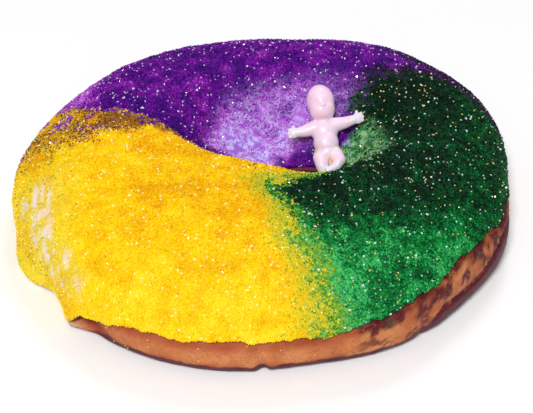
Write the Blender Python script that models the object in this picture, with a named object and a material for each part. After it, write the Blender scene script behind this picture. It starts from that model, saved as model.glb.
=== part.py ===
"""King cake: a baked ring of sweet dough, the icing poured over it, and the plastic baby lying in its hole.

The cake stands on z = 0 with its origin at the centre of its footprint, and +X runs along its longest way.
The ring is a closed sweep: a section in radius and height, measured from the throat's own centre, is worked
out for each angle around the throat, and its loops are bridged. Lengths are millimetres until a mesh is made.
"""

import math

import bmesh
import bpy
import numpy as np
from mathutils import Matrix, Vector

MM = 0.001

# ---- the ring -------------------------------------------------------------------------------------
HOLE = (16.9, 3.6)            # the throat's centre, off the middle of the cake
THROAT_SHARE = 0.40           # height of the throat's upper end, as a share of the ring's height
BULGE_SHARE = 0.30            # the same of the level where the ring is widest
TUCK = 5.5                    # how far the side turns under at the table
INNER_ROUND = 1.8             # superellipse power of the slope into the throat
OUTER_ROUND = 2.35            # and of the outer shoulder
TUCK_ROUND = 2.2              # and of the turn under it
# Each of these goes once around the throat, counter-clockwise from +X, in equal steps.
OUTER = (84, 89, 89, 87, 87, 94, 104, 111, 118, 116, 112, 103, 91, 89, 87, 87)
CREST = (42, 50, 54, 54, 57, 63, 56, 34, 27, 26, 30, 34)
INNER = (13, 11, 9, 8, 9, 13, 17, 13, 9, 8, 10, 12)
HEIGHT = (38, 40, 41.3, 40.4, 40, 41, 41, 42, 42, 42, 41, 39)
DISHED = (0.3, 0.5, 0.6, 0.6, 0.8, 0.8, 0.6, 0.2, 0.0, 0.0, 0.0, 0.1)    # 0 a round slope, 1 a hollow one

# ---- the icing ------------------------------------------------------------------------------------
ICING = 2.2                   # thickness
GAP = 0.3                     # left between the icing and the dough
BARE = 0.3                    # how far the bare side of the dough stands back from the icing's face
SWELL = 2.0                   # height over which it swells out below the icing's edge
EDGE = (19, 13, 11, 11, 11, 12, 12, 11, 14, 16, 20.5, 22)    # height of its lower edge above the table
EDGE_WAVES = ((7, 0.5, 2.1), (12, 0.4, 4.0))    # waves around, rise, phase
DRIP = 19.5                   # height of its inner edge, in the throat
LOWEST = 0.5                  # the foot's underside above the table
FOOT = (math.radians(199), math.radians(15))    # where it has run down to the table, and how wide
FOOT_FLARE = 5.5              # how far it stands out there
FOOT_POOL = 0.75              # share of that which is solid icing and not room behind it
LIP = (math.radians(221), math.radians(12))     # where its edge stands off the dough
LIP_FLARE = 6.0
LIP_DIP = 4.0                 # how much lower its edge hangs there
FLARE_TOP = 12.6              # height below which the icing stands out
RIM = (1.1, 0.35)             # how far the face stands back at its edges and next to them, which rounds them
SHOULDER = (2.4, 0.7)         # heights above the lower edge of the two rows before it

# ---- laps pressed into the dough's side: angle, depth, half width -----------------------------------
LAPS = ((math.radians(259.5), 1.6, math.radians(2.0)), (math.radians(293), 2.0, math.radians(2.2)))
LAP_FADE = (2.5, 3.2)         # v where they begin, on the shoulder, and where they are full depth

# ---- the baby -------------------------------------------------------------------------------------
BABY_HIP = (26.2, 10.3, 26.3)
BABY_RECLINE = math.radians(42)   # of the body's axis above level
BABY_LEAN = math.radians(10)      # towards -X
BABY_GRAIN = 0.5                  # cell of the remeshing that joins its limbs
BABY_KEEP = 0.12                  # share of the faces that stay
# The body's axis is Z from the hips up, X runs to its left side and it faces -Y.
BABY_BALLS = (                    # centre and radii
    ((0.2, 0.2, 21.6), (6.2, 6.4, 7.4)),      # skull
    ((0.4, -0.9, 18.4), (5.5, 5.2, 5.2)),     # jaw and cheeks
    ((0.4, -6.0, 19.6), (1.1, 1.0, 1.1)),     # nose
    ((0.1, 0.3, 9.6), (5.7, 4.2, 5.6)),       # chest
    ((0.0, -0.4, 4.0), (5.5, 4.7, 5.8)),      # belly
    ((0.0, 0.2, 0.2), (6.0, 4.5, 4.3)),       # seat
    ((-13.8, -1.0, 11.4), (2.4, 1.8, 2.9)),   # right hand
    ((14.6, -1.0, 11.4), (2.4, 1.8, 2.9)),    # left hand
)
BABY_LIMBS = (                    # points along each, as x, y, z and the radius there
    ((0.2, 0.0, 12.0, 3.4), (0.3, 0.0, 16.0, 3.4)),                              # neck
    ((-3.8, 0.2, 11.2, 3.2), (-8.4, -0.2, 11.0, 2.5), (-12.1, -0.8, 11.2, 1.9)),  # right arm
    ((3.8, 0.2, 11.2, 3.2), (8.4, -0.2, 11.0, 2.5), (12.9, -0.8, 11.2, 1.9)),     # left arm
    ((-2.9, -0.6, -1.2, 3.6), (-3.9, -1.9, -5.0, 2.8), (-2.9, -1.6, -8.6, 2.1)),  # right leg
    ((3.0, -0.8, -1.0, 3.6), (5.2, -2.9, -3.8, 2.9), (0.9, -3.1, -7.0, 2.2)),     # left leg
)
LIMB_STEP = 0.6

RING_STEPS = 54


def around(values, angle):
    """The value at an angle of a smooth closed curve through equally spaced values."""
    values = np.asarray(values, float)
    count = len(values)
    place = (angle % math.tau) / math.tau * count
    i = np.floor(place).astype(int)
    f = place - i
    a, b, c, d = (values[(i + k) % count] for k in (-1, 0, 1, 2))
    return 0.5 * (2 * b + (c - a) * f + (2 * a - 5 * b + 4 * c - d) * f**2 + (3 * b - a - 3 * c + d) * f**3)


def bump(angle, centre, width):
    """1 at the centre, falling smoothly to 0 at this far to each side."""
    off = np.abs((angle - centre + math.pi) % math.tau - math.pi) / width
    return np.cos(np.clip(off, 0, 1) * math.pi / 2) ** 2


def smooth(low, high, x):
    t = np.clip((x - low) / (high - low), 0, 1)
    return t * t * (3 - 2 * t)


def skin(angle, v):
    """Radius and height of the iced ring's face. v is 0 at the throat's foot, 1 at its upper end, 2 on the
    crest, 3 where the ring is widest and 4 on the table."""
    inner, outer, top = around(INNER, angle), around(OUTER, angle), around(HEIGHT, angle)
    crest, dish = around(CREST, angle), np.clip(around(DISHED, angle), 0, 1)
    throat, wide = THROAT_SHARE * top, BULGE_SHARE * top
    turn = np.where(v < 4, v % 1, 1.0) * math.pi / 2
    sine, cosine = np.sin(turn), np.clip(np.cos(turn), 0, 1)
    x = 1 - cosine ** (2 / INNER_ROUND)
    y = sine ** (2 / INNER_ROUND)
    hollow = 0.25 * y + 0.75 * (1 - np.cos(math.pi * x**1.5)) / 2
    radius = [
        inner + 2.0 * np.clip(1 - v, 0, 1) ** 3,
        inner + (crest - inner) * x,
        crest + (outer - crest) * sine ** (2 / OUTER_ROUND),
        outer - TUCK * (1 - cosine ** (2 / TUCK_ROUND)),
    ]
    height = [
        throat * v,
        throat + (top - throat) * ((1 - dish) * y + dish * hollow),
        wide + (top - wide) * cosine ** (2 / OUTER_ROUND),
        wide * (1 - sine ** (2 / TUCK_ROUND)),
    ]
    bands = [v < 1, v < 2, v < 3, v <= 4]
    return np.select(bands, radius), np.select(bands, height)


def inset(angle, v, depth):
    """The same, this far below the face: square to it on top, level in the throat and under the bulge."""
    step = 1e-3
    r0, z0 = skin(angle, np.clip(v - step, 1, 3))
    r1, z1 = skin(angle, np.clip(v + step, 1, 3))
    size = np.maximum(np.hypot(r1 - r0, z1 - z0), 1e-12)
    wall, side = v < 1 + step, v > 3 - step
    out_r = np.where(wall, -1.0, np.where(side, 1.0, (z0 - z1) / size))
    out_z = np.where(wall | side, 0.0, (r1 - r0) / size)
    r, z = skin(angle, v)
    return r - depth * out_r, z - depth * out_z


def v_at(angle, height, low, high):
    """Where the face has this height, between two values of v over which it only rises or only falls."""
    low, high = np.full_like(angle, low), np.full_like(angle, high)
    rising = skin(angle, high)[1] > skin(angle, low)[1]
    for _ in range(40):
        middle = (low + high) / 2
        below = (skin(angle, middle)[1] < height) == rising
        low, high = np.where(below, middle, low), np.where(below, high, middle)
    return (low + high) / 2


def icing_edge(angle):
    """Height of the icing's lower edge."""
    edge = around(EDGE, angle) + sum(rise * np.sin(count * angle + phase) for count, rise, phase in EDGE_WAVES)
    edge = edge - LIP_DIP * bump(angle, *LIP)
    foot = smooth(0.1, 0.8, bump(angle, FOOT[0] - 0.4 * FOOT[1], 2 * FOOT[1]))
    return edge * (1 - foot) + LOWEST * foot


def foot_flare(angle, z):
    """How far the icing's foot stands out beyond the ring's face."""
    return FOOT_FLARE * bump(angle, *FOOT) * np.clip(1 - z / FLARE_TOP, 0, 1) ** 1.6


def lip_flare(angle, z):
    """How far its lip stands out beyond the ring's face."""
    return LIP_FLARE * bump(angle, *LIP) * np.clip(1 - z / FLARE_TOP, 0, 1) ** 0.8


def ring_angles():
    """Equal steps around the throat, half steps where the icing runs to the table, and more at the laps."""
    step = math.tau / RING_STEPS
    steps = list(np.arange(RING_STEPS) * step)
    steps += [a + step / 2 for a in steps if abs(a - FOOT[0]) < 2 * FOOT[1]]
    for lap, _, width in LAPS:
        steps = [a for a in steps if abs(a - lap) > 1.6 * width] + [lap - width, lap, lap + width]
    return np.array(sorted(steps))


def loops_to_object(name, loops, material):
    """A ring whose loops of points, each a closed circle about the throat, are bridged one to the next. Every
    four corners are split along the same diagonal, so that two rings on the same rows stay parallel."""
    bm = bmesh.new()
    rings = [[bm.verts.new(Vector(point) * MM) for point in loop] for loop in loops]
    for near, far in zip(rings, rings[1:] + rings[:1]):
        for i in range(len(near)):
            bm.faces.new((near[i - 1], near[i], far[i], far[i - 1]))
    bmesh.ops.triangulate(bm, faces=bm.faces, quad_method="FIXED")
    bmesh.ops.recalc_face_normals(bm, faces=bm.faces)
    return as_object(name, bm, material)


def as_object(name, bm, material):
    mesh = bpy.data.meshes.new(name)
    bm.to_mesh(mesh)
    bm.free()
    mesh.shade_smooth()
    mesh.set_sharp_from_angle(angle=math.radians(50))
    mesh.materials.append(material)
    made = bpy.data.objects.new(name, mesh)
    bpy.context.scene.collection.objects.link(made)
    return made


def circle(angle, radius, height):
    """Points at these radii and heights around the throat."""
    return np.stack([HOLE[0] + radius * np.cos(angle), HOLE[1] + radius * np.sin(angle), height], axis=-1)


def iced_rows(angle, edge):
    """Where the icing's rows lie, from its inner edge over the crest to its lower edge."""
    start = v_at(angle, DRIP, 1, 2)
    rows = [start + (2 - start) * share for share in (0.0, 0.06, 0.16, 0.3, 0.46, 0.63, 0.82)]
    bend, before, end = (v_at(angle, edge + over, 2, 4) for over in (*SHOULDER, 0))
    rows += [2 + (bend - 2) * share for share in (0.0, 0.2, 0.38, 0.54, 0.69, 0.84, 1.0)]
    return rows + [before, end]


def make_dough(material):
    """The baked ring: it keeps clear of the icing, and its bare side and throat swell out as far as that."""
    angle = ring_angles()
    edge = icing_edge(angle)
    iced = iced_rows(angle, edge)
    under = np.minimum(v_at(angle, edge - SWELL, 2, 4), (iced[-1] + 4) / 2)
    throat = [np.full_like(angle, v) for v in (0.0, 0.5, 0.95)]
    side = [under + (4 - under) * share for share in (0.0, 0.3, 0.6, 0.82, 1.0)]
    loops = []
    for v in throat + iced + side:
        depth = ICING + GAP if any(v is row for row in iced) else BARE
        depth = depth + sum(deep * bump(angle, at, wide) for at, deep, wide in LAPS) * smooth(*LAP_FADE, v)
        loops.append(circle(angle, *inset(angle, v, depth)))
    return loops_to_object("dough", loops[::-1], material)


def make_icing(material):
    """A shell with rounded edges that follows the ring's face, down to the table at its foot."""
    angle = ring_angles()
    rows = iced_rows(angle, icing_edge(angle))
    rounding = [*RIM] + [0.0] * (len(rows) - 4) + [*RIM[::-1]]
    face, back = [], []
    for v, depth in zip(rows, rounding):
        r, z = inset(angle, v, depth)
        face.append(circle(angle, r + foot_flare(angle, z) + lip_flare(angle, z), z))
        r, z = inset(angle, v, ICING)
        back.append(circle(angle, r + (1 - FOOT_POOL) * foot_flare(angle, z) + lip_flare(angle, z), z))
    return loops_to_object("icing", face + back[::-1], material)


def ball(bm, centre, radii):
    place = Matrix.LocRotScale(Vector(centre) * MM, None, Vector(radii) * MM)
    bmesh.ops.create_icosphere(bm, subdivisions=3, radius=1.0, matrix=place)


def limb(bm, points):
    """Balls along a run of points, close enough to make one rounded limb."""
    for a, b in zip(points, points[1:]):
        steps = math.ceil(math.dist(a[:3], b[:3]) / LIMB_STEP)
        for k in range(steps + 1):
            x, y, z, r = (p + (q - p) * k / steps for p, q in zip(a, b))
            ball(bm, (x, y, z), (r, r, r))


def make_baby(material):
    """A doll moulded in one piece. Its origin is between its hips."""
    bm = bmesh.new()
    for centre, radii in BABY_BALLS:
        ball(bm, centre, radii)
    for points in BABY_LIMBS:
        limb(bm, points)
    made = as_object("baby", bm, material)
    remesh = made.modifiers.new("Join the limbs", "REMESH")
    remesh.mode = "VOXEL"
    remesh.voxel_size = BABY_GRAIN * MM
    soften = made.modifiers.new("Soften the joins", "SMOOTH")
    soften.factor = 0.5
    soften.iterations = 4
    thin = made.modifiers.new("Fewer faces", "DECIMATE")
    thin.ratio = BABY_KEEP
    turn = Matrix.Rotation(-(math.pi / 2 - BABY_RECLINE), 4, "X") @ Matrix.Rotation(-BABY_LEAN, 4, "Y")
    made.location = Vector(BABY_HIP) * MM
    made.rotation_euler = turn.to_euler()
    return made


def paint(name, colour, roughness):
    material = bpy.data.materials.new(name)
    material.use_nodes = True
    shader = material.node_tree.nodes["Principled BSDF"]
    shader.inputs["Base Color"].default_value = (*colour, 1.0)
    shader.inputs["Roughness"].default_value = roughness
    shader.inputs["Metallic"].default_value = 0.0
    return material


def main():
    for old in list(bpy.data.objects):
        bpy.data.objects.remove(old, do_unlink=True)
    cake = bpy.data.objects.new("king_cake", None)
    bpy.context.scene.collection.objects.link(cake)
    pieces = [
        make_dough(paint("baked_dough", (0.56, 0.16, 0.05), 0.7)),
        make_icing(paint("sugared_icing", (0.95, 0.62, 0.03), 0.45)),
        make_baby(paint("pink_plastic", (0.95, 0.68, 0.76), 0.25)),
    ]
    for piece in pieces:
        piece.parent = cake


if __name__ == "__main__":
    main()
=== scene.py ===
"""King cake: its looks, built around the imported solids.

A ring of sweet dough is baked brown on its side and iced from its inner edge to low on its outer side.
Purple, gold and green sugar lies on the icing in three bands, and a small pink plastic baby lies in the
hole. Lengths are millimetres until a mesh is made, and angles run counter-clockwise about the hole, from
+X.
"""

from __future__ import annotations

import logging
import math
from collections.abc import Mapping, Sequence
from dataclasses import dataclass
from enum import Enum, IntEnum

import bmesh
import bpy
import numpy as np
from mathutils import Matrix, Vector


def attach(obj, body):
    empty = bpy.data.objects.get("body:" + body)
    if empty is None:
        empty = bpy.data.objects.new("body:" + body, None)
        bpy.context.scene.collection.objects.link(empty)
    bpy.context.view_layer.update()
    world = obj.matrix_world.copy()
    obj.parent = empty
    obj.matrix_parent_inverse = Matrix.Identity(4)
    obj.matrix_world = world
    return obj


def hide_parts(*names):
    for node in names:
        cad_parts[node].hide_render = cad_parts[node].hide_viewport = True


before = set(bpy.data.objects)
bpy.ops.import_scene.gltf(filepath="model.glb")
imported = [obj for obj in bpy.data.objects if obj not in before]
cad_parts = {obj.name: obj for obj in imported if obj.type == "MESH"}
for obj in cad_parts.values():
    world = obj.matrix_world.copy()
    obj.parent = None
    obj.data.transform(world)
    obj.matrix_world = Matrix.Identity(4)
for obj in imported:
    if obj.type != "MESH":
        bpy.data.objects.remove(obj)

MM = 0.001
LOG = logging.getLogger("king_cake")
Array = np.ndarray
Triple = tuple[float, float, float]
Pairs = tuple[tuple[float, float], ...]


# ---- shared shape helpers ---------------------------------------------------------------------------


def smooth(low: float | Array, high: float | Array, x: Array) -> Array:
    """A soft step.

    Args:
        low: where the step begins.
        high: where it ends, which may lie below its beginning.
        x: the values to weigh.

    Returns:
        0 at the beginning and before, 1 at the end and past it.
    """
    t = np.clip((x - low) / (high - low), 0, 1)
    return t * t * (3 - 2 * t)


def bump(angle: Array, centre: float, width: float) -> Array:
    """A soft hump around the ring.

    Args:
        angle: where to read it, in radians.
        centre: its middle.
        width: how far it reaches to each side.

    Returns:
        1 at the middle, falling to 0 at its width.
    """
    off = np.abs((angle - centre + math.pi) % math.tau - math.pi) / width
    return np.cos(np.clip(off, 0, 1) * math.pi / 2) ** 2


def around(values: Sequence[float], angle: Array) -> Array:
    """Reads a smooth closed curve through equally spaced values.

    Args:
        values: the curve's values, once around from +X.
        angle: where to read it, in radians.

    Returns:
        The curve's value at each angle.
    """
    given = np.asarray(values, float)
    count = len(given)
    place = (angle % math.tau) / math.tau * count
    i = np.floor(place).astype(int)
    f = place - i
    a, b, c, d = (given[(i + k) % count] for k in (-1, 0, 1, 2))
    return 0.5 * (2 * b + (c - a) * f + (2 * a - 5 * b + 4 * c - d) * f**2 + (3 * b - a - 3 * c + d) * f**3)


@dataclass(frozen=True)
class Unevenness:
    """Soft random lumps in space, alike on every run.

    Attributes:
        size: how far apart the lumps lie.
        seed: which of all such patterns it is.
        octaves: how many finer layers of lumps it adds up.
    """

    size: float
    seed: int
    octaves: int = 2

    def corner(self, cell: Array, layer: int) -> Array:
        """A fixed random number from -1 to 1 for each cell of a lattice.

        Args:
            cell: whole numbers, three to a row.
            layer: the octave, which changes the numbers.

        Returns:
            One number for each row.
        """
        x, y, z = (cell[..., k].astype(np.int64) for k in range(3))
        mixed = (x * 73856093) ^ (y * 19349663) ^ (z * 83492791) ^ ((self.seed + 31 * layer) * 2654435)
        mixed = ((mixed ^ (mixed >> 13)) * 1274126177) & 0x7FFFFFFF
        mixed = ((mixed ^ (mixed >> 15)) * 2246822519) & 0x7FFFFFFF
        return ((mixed >> 8) & 0xFFFF) / 32767.5 - 1

    def at(self, points: Array, stretch: Triple = (1, 1, 1)) -> Array:
        """Reads the lumps.

        Args:
            points: where, in millimetres.
            stretch: how much longer the lumps are along X, Y and Z.

        Returns:
            Values from about -1 to 1.
        """
        total, strength = np.zeros(points.shape[:-1]), 0.0
        for layer in range(self.octaves):
            share = 0.5**layer
            place = points / np.asarray(stretch, float) / (self.size * share)
            cell = np.floor(place)
            f = place - cell
            f = f * f * (3 - 2 * f)
            for i in range(8):
                step = np.array([i & 1, i >> 1 & 1, i >> 2 & 1])
                weight = np.prod(np.where(step == 1, f, 1 - f), axis=-1)
                total += share * weight * self.corner(cell + step, layer)
            strength += share
        return total / strength * 1.6


def new_mesh(name: str, points: Array, faces: Array) -> bpy.types.Mesh:
    """Makes a smooth-shaded mesh whose faces point outwards.

    Args:
        name: the mesh's name.
        points: its corners in millimetres.
        faces: the corners of each face, all faces with as many.

    Returns:
        The mesh, in metres.
    """
    a, b, c = (points[faces[:, k]] for k in range(3))
    points_inward = np.einsum("ij,ij->", a, np.cross(b, c)) < 0
    if points_inward:
        faces = faces[:, ::-1]
    mesh = bpy.data.meshes.new(name)
    mesh.from_pydata((points * MM).tolist(), [], faces.tolist())
    mesh.validate()
    mesh.shade_smooth()
    return mesh


def grid_faces(rows: int, columns: int) -> Array:
    """The faces of a grid that closes on itself both ways.

    Args:
        rows: how many loops it has.
        columns: how many corners each loop has.

    Returns:
        Four corner numbers for each face.
    """
    row, column = np.meshgrid(np.arange(rows), np.arange(columns), indexing="ij")
    here, below, after = row * columns, (row + 1) % rows * columns, (column + 1) % columns
    corners = (here + column, here + after, below + after, below + column)
    return np.stack(corners, axis=-1).reshape(-1, 4)


def read(mesh: bpy.types.Mesh, name: str) -> Array:
    """Reads three numbers for each corner of a mesh.

    Args:
        mesh: the mesh.
        name: which of a corner's numbers, such as its place or its normal.

    Returns:
        One row for each corner.
    """
    numbers = np.empty(len(mesh.vertices) * 3, np.float32)
    mesh.vertices.foreach_get(name, numbers)
    return numbers.reshape(-1, 3).astype(float)


def mark(mesh: bpy.types.Mesh, name: str, values: Array) -> None:
    """Stores one number for each corner of a mesh.

    Args:
        mesh: the mesh.
        name: what the numbers are called.
        values: the numbers, in the order of the corners.
    """
    layer = mesh.attributes.new(name, "FLOAT", "POINT")
    layer.data.foreach_set("value", np.ascontiguousarray(values, np.float32).ravel())


def place(name: str, mesh: bpy.types.Mesh) -> bpy.types.Object:
    """Puts a mesh in the scene at the origin, as a piece that rides on the cake's one body.

    Args:
        name: the piece's name.
        mesh: its mesh, already where it belongs.

    Returns:
        The new object.
    """
    made = bpy.data.objects.new(name, mesh)
    bpy.context.scene.collection.objects.link(made)
    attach(made, "root")
    LOG.info("%s: %d faces", name, len(mesh.polygons))
    return made


# ---- nodes ------------------------------------------------------------------------------------------


class Value:
    """A number on a node's socket, which Python's arithmetic extends with Math nodes."""

    def __init__(self, nodes: Nodes, socket: bpy.types.NodeSocket) -> None:
        """Keeps the socket and what adds nodes to its tree."""
        self.nodes = nodes
        self.socket = socket

    def math(self, operation: str, *others: Value | float, clip: bool = False) -> Value:
        """One Math node.

        Args:
            operation: the node's operation.
            others: its inputs after this one.
            clip: whether the result is kept from 0 to 1.

        Returns:
            The result.
        """
        return self.nodes.math(operation, self, *others, clip=clip)

    def __add__(self, other: Value | float) -> Value:
        """This plus another."""
        return self.math("ADD", other)

    __radd__ = __add__

    def __sub__(self, other: Value | float) -> Value:
        """This minus another."""
        return self.math("SUBTRACT", other)

    def __rsub__(self, other: float) -> Value:
        """Another minus this."""
        return self.nodes.math("SUBTRACT", other, self)

    def __mul__(self, other: Value | float) -> Value:
        """This times another."""
        return self.math("MULTIPLY", other)

    __rmul__ = __mul__

    def __lt__(self, other: Value | float) -> Value:
        """1 where this is less than another, otherwise 0."""
        return self.math("LESS_THAN", other)

    def kept(self) -> Value:
        """This, kept from 0 to 1."""
        return self.math("ADD", 0.0, clip=True)

    def step(self, low: float, high: float) -> Value:
        """A soft step.

        Args:
            low: where it begins.
            high: where it ends, which may lie below its beginning.

        Returns:
            0 at the beginning and before, 1 at the end and past it.
        """
        inputs = {"Value": self, "From Min": low, "From Max": high}
        made = self.nodes.add("ShaderNodeMapRange", {"interpolation_type": "SMOOTHSTEP"}, inputs)
        return Value(self.nodes, made.outputs["Result"])


class Nodes:
    """Adds nodes to one tree, of a material or of geometry."""

    def __init__(self, tree: bpy.types.NodeTree) -> None:
        """Keeps the tree."""
        self.tree = tree

    def feed(self, socket: bpy.types.NodeSocket, given: object) -> None:
        """Links a socket, or sets its number.

        Args:
            socket: the input.
            given: a Value, a socket or a plain setting.
        """
        if isinstance(given, Value):
            self.tree.links.new(given.socket, socket)
        elif isinstance(given, bpy.types.NodeSocket):
            self.tree.links.new(given, socket)
        else:
            socket.default_value = given

    def add(
        self,
        kind: str,
        settings: Mapping[str, object] | None = None,
        inputs: Mapping[str, object] | None = None,
    ) -> bpy.types.Node:
        """Adds one node.

        Args:
            kind: the node's type.
            settings: its own properties, which are set first.
            inputs: what its sockets get, by their identifiers.

        Returns:
            The node.
        """
        node = self.tree.nodes.new(kind)
        for name, value in (settings or {}).items():
            setattr(node, name, value)
        by_identifier = {socket.identifier: socket for socket in node.inputs}
        for name, value in (inputs or {}).items():
            self.feed(by_identifier[name], value)
        return node

    def math(self, operation: str, *values: Value | float, clip: bool = False) -> Value:
        """One Math node on up to three numbers.

        Args:
            operation: its operation.
            values: its inputs in order.
            clip: whether the result is kept from 0 to 1.

        Returns:
            The result.
        """
        inputs = dict(zip(("Value", "Value_001", "Value_002"), values))
        made = self.add("ShaderNodeMath", {"operation": operation, "use_clamp": clip}, inputs)
        return Value(self, made.outputs["Value"])


class Recipe(Nodes):
    """A material's nodes around one shader."""

    def __init__(self, name: str) -> None:
        """Makes the material, whose new tree holds just the shader and the output."""
        self.material = bpy.data.materials.new(name)
        self.material.use_nodes = True
        super().__init__(self.material.node_tree)
        self.shader = self.tree.nodes["Principled BSDF"]
        self.place = self.add("ShaderNodeTexCoord").outputs["Object"]

    def attribute(self, name: str) -> Value:
        """A number stored on the piece's corners."""
        made = self.add("ShaderNodeAttribute", {"attribute_name": name})
        return Value(self, made.outputs["Fac"])

    def noise(self, size: float, detail: float = 2.0, roughness: float = 0.5) -> Value:
        """Cloudy noise.

        Args:
            size: about how far apart its clouds lie, in millimetres.
            detail: how many finer layers it has.
            roughness: how strong those are.

        Returns:
            Values around a half.
        """
        inputs = {
            "Vector": self.place,
            "Scale": 1 / (size * MM),
            "Detail": detail,
            "Roughness": roughness,
        }
        return Value(self, self.add("ShaderNodeTexNoise", {}, inputs).outputs["Fac"])

    def cells(self, size: float) -> bpy.types.Node:
        """Grains packed together, their middles a size apart: a distance and a random colour for each."""
        return self.add("ShaderNodeTexVoronoi", {}, {"Vector": self.place, "Scale": 1 / (size * MM)})

    def parts(self, colour: bpy.types.NodeSocket) -> tuple[Value, ...]:
        """The three numbers of a colour."""
        split = self.add("ShaderNodeSeparateColor", {}, {"Color": colour})
        return tuple(Value(self, socket) for socket in split.outputs)

    def blend(self, share: Value | float, under: object, over: object) -> bpy.types.NodeSocket:
        """Mixes two colours.

        Args:
            share: how much of the upper one shows.
            under: a Tint or a colour socket.
            over: the same.

        Returns:
            The mixed colour's socket.
        """
        settings = {"data_type": "RGBA", "clamp_factor": True}
        colours = [value.linear if isinstance(value, Tint) else value for value in (under, over)]
        inputs = {"Factor_Float": share, "A_Color": colours[0], "B_Color": colours[1]}
        made = self.add("ShaderNodeMix", settings, inputs)
        return next(socket for socket in made.outputs if socket.type == "RGBA")

    def ramp(self, value: Value, stops: Sequence[tuple[float, Tint]]) -> bpy.types.NodeSocket:
        """A colour for each value.

        Args:
            value: from 0 to 1.
            stops: places along it with their colours, rising.

        Returns:
            The colour's socket.
        """
        made = self.add("ShaderNodeValToRGB", {}, {"Fac": value})
        elements = made.color_ramp.elements
        for position, _ in stops[2:]:
            elements.new(position)
        for element, (position, tint) in zip(elements, stops):
            element.position = position
            element.color = tint.linear
        return made.outputs["Color"]

    def finish(self, **inputs: object) -> bpy.types.Material:
        """Sets the shader's sockets.

        Args:
            inputs: sockets by name, with _ for each space, and what they get.

        Returns:
            The finished material.
        """
        for name, value in inputs.items():
            given = value.linear if isinstance(value, Tint) else value
            self.feed(self.shader.inputs[name.replace("_", " ")], given)
        return self.material

    def relief(self, height: Value, depth: float, strength: float = 1.0) -> bpy.types.NodeSocket:
        """Bumps the surface.

        Args:
            height: from 0 to 1.
            depth: how high 1 stands, in millimetres.
            strength: how much of it acts.

        Returns:
            The normal's socket.
        """
        inputs = {"Strength": strength, "Distance": depth * MM, "Height": height}
        return self.add("ShaderNodeBump", {}, inputs).outputs["Normal"]


# ---- colours ----------------------------------------------------------------------------------------


@dataclass(frozen=True)
class Tint:
    """A colour as it looks, its red, green and blue from 0 to 255."""

    red: float
    green: float
    blue: float

    @property
    def linear(self) -> tuple[float, float, float, float]:
        """The same in linear light, as nodes take it.

        Returns:
            Red, green, blue and an alpha of 1.
        """
        shares = (level / 255 for level in (self.red, self.green, self.blue))
        red, green, blue = (s / 12.92 if s <= 0.04045 else ((s + 0.055) / 1.055) ** 2.4 for s in shares)
        return red, green, blue, 1.0


class Sugar(Enum):
    """The three coloured sugars, each with the name of the mark that says how much of it lies somewhere."""

    PURPLE = "purple"
    GOLD = "gold"
    GREEN = "green"


@dataclass(frozen=True)
class SugarFinish:
    """The look of one sugar.

    Attributes:
        shades: the grains' own colours, from the darkest to the palest.
        bled: their colours where the sugar beside has run into them.
        tinged: the same on the other side, for a sugar that takes colour from both.
        glints_painted_pale: the clearest grains, glossy and tinted pale, the pale tint a painted highlight.
        thin: what shows where the sugar lies thinly on the icing.
    """

    shades: tuple[Tint, ...]
    bled: tuple[Tint, ...]
    glints_painted_pale: tuple[Tint, ...]
    thin: tuple[Tint, Tint]
    tinged: tuple[Tint, ...] = ()


# The glint tints are pale: painted highlights on the clearest crystals, which shine as well.
FINISHES = {
    Sugar.PURPLE: SugarFinish(
        shades=(
            Tint(50, 0, 108), Tint(78, 0, 130), Tint(110, 8, 148), Tint(150, 40, 176), Tint(194, 108, 216),
        ),
        bled=(Tint(30, 8, 34), Tint(56, 14, 66), Tint(22, 34, 30)),
        glints_painted_pale=(Tint(216, 180, 234), Tint(244, 220, 240)),
        thin=(Tint(160, 104, 214), Tint(204, 190, 252)),
    ),
    Sugar.GOLD: SugarFinish(
        shades=(
            Tint(230, 164, 2), Tint(240, 186, 2), Tint(245, 203, 6), Tint(248, 215, 14), Tint(251, 226, 46),
        ),
        bled=(Tint(92, 38, 20), Tint(120, 62, 20), Tint(146, 88, 26), Tint(174, 124, 44)),
        glints_painted_pale=(Tint(255, 242, 150), Tint(255, 250, 214)),
        thin=(Tint(198, 178, 62), Tint(224, 206, 112)),
        tinged=(Tint(158, 172, 40), Tint(192, 190, 38), Tint(220, 206, 44)),
    ),
    Sugar.GREEN: SugarFinish(
        shades=(Tint(0, 26, 12), Tint(0, 50, 22), Tint(0, 90, 38), Tint(14, 142, 62), Tint(74, 190, 106)),
        bled=(Tint(48, 132, 42), Tint(90, 160, 42), Tint(156, 188, 50)),
        glints_painted_pale=(Tint(186, 240, 230), Tint(240, 212, 128)),
        thin=(Tint(60, 138, 80), Tint(150, 204, 144)),
    ),
}


# ---- the ring's shape -------------------------------------------------------------------------------


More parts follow.
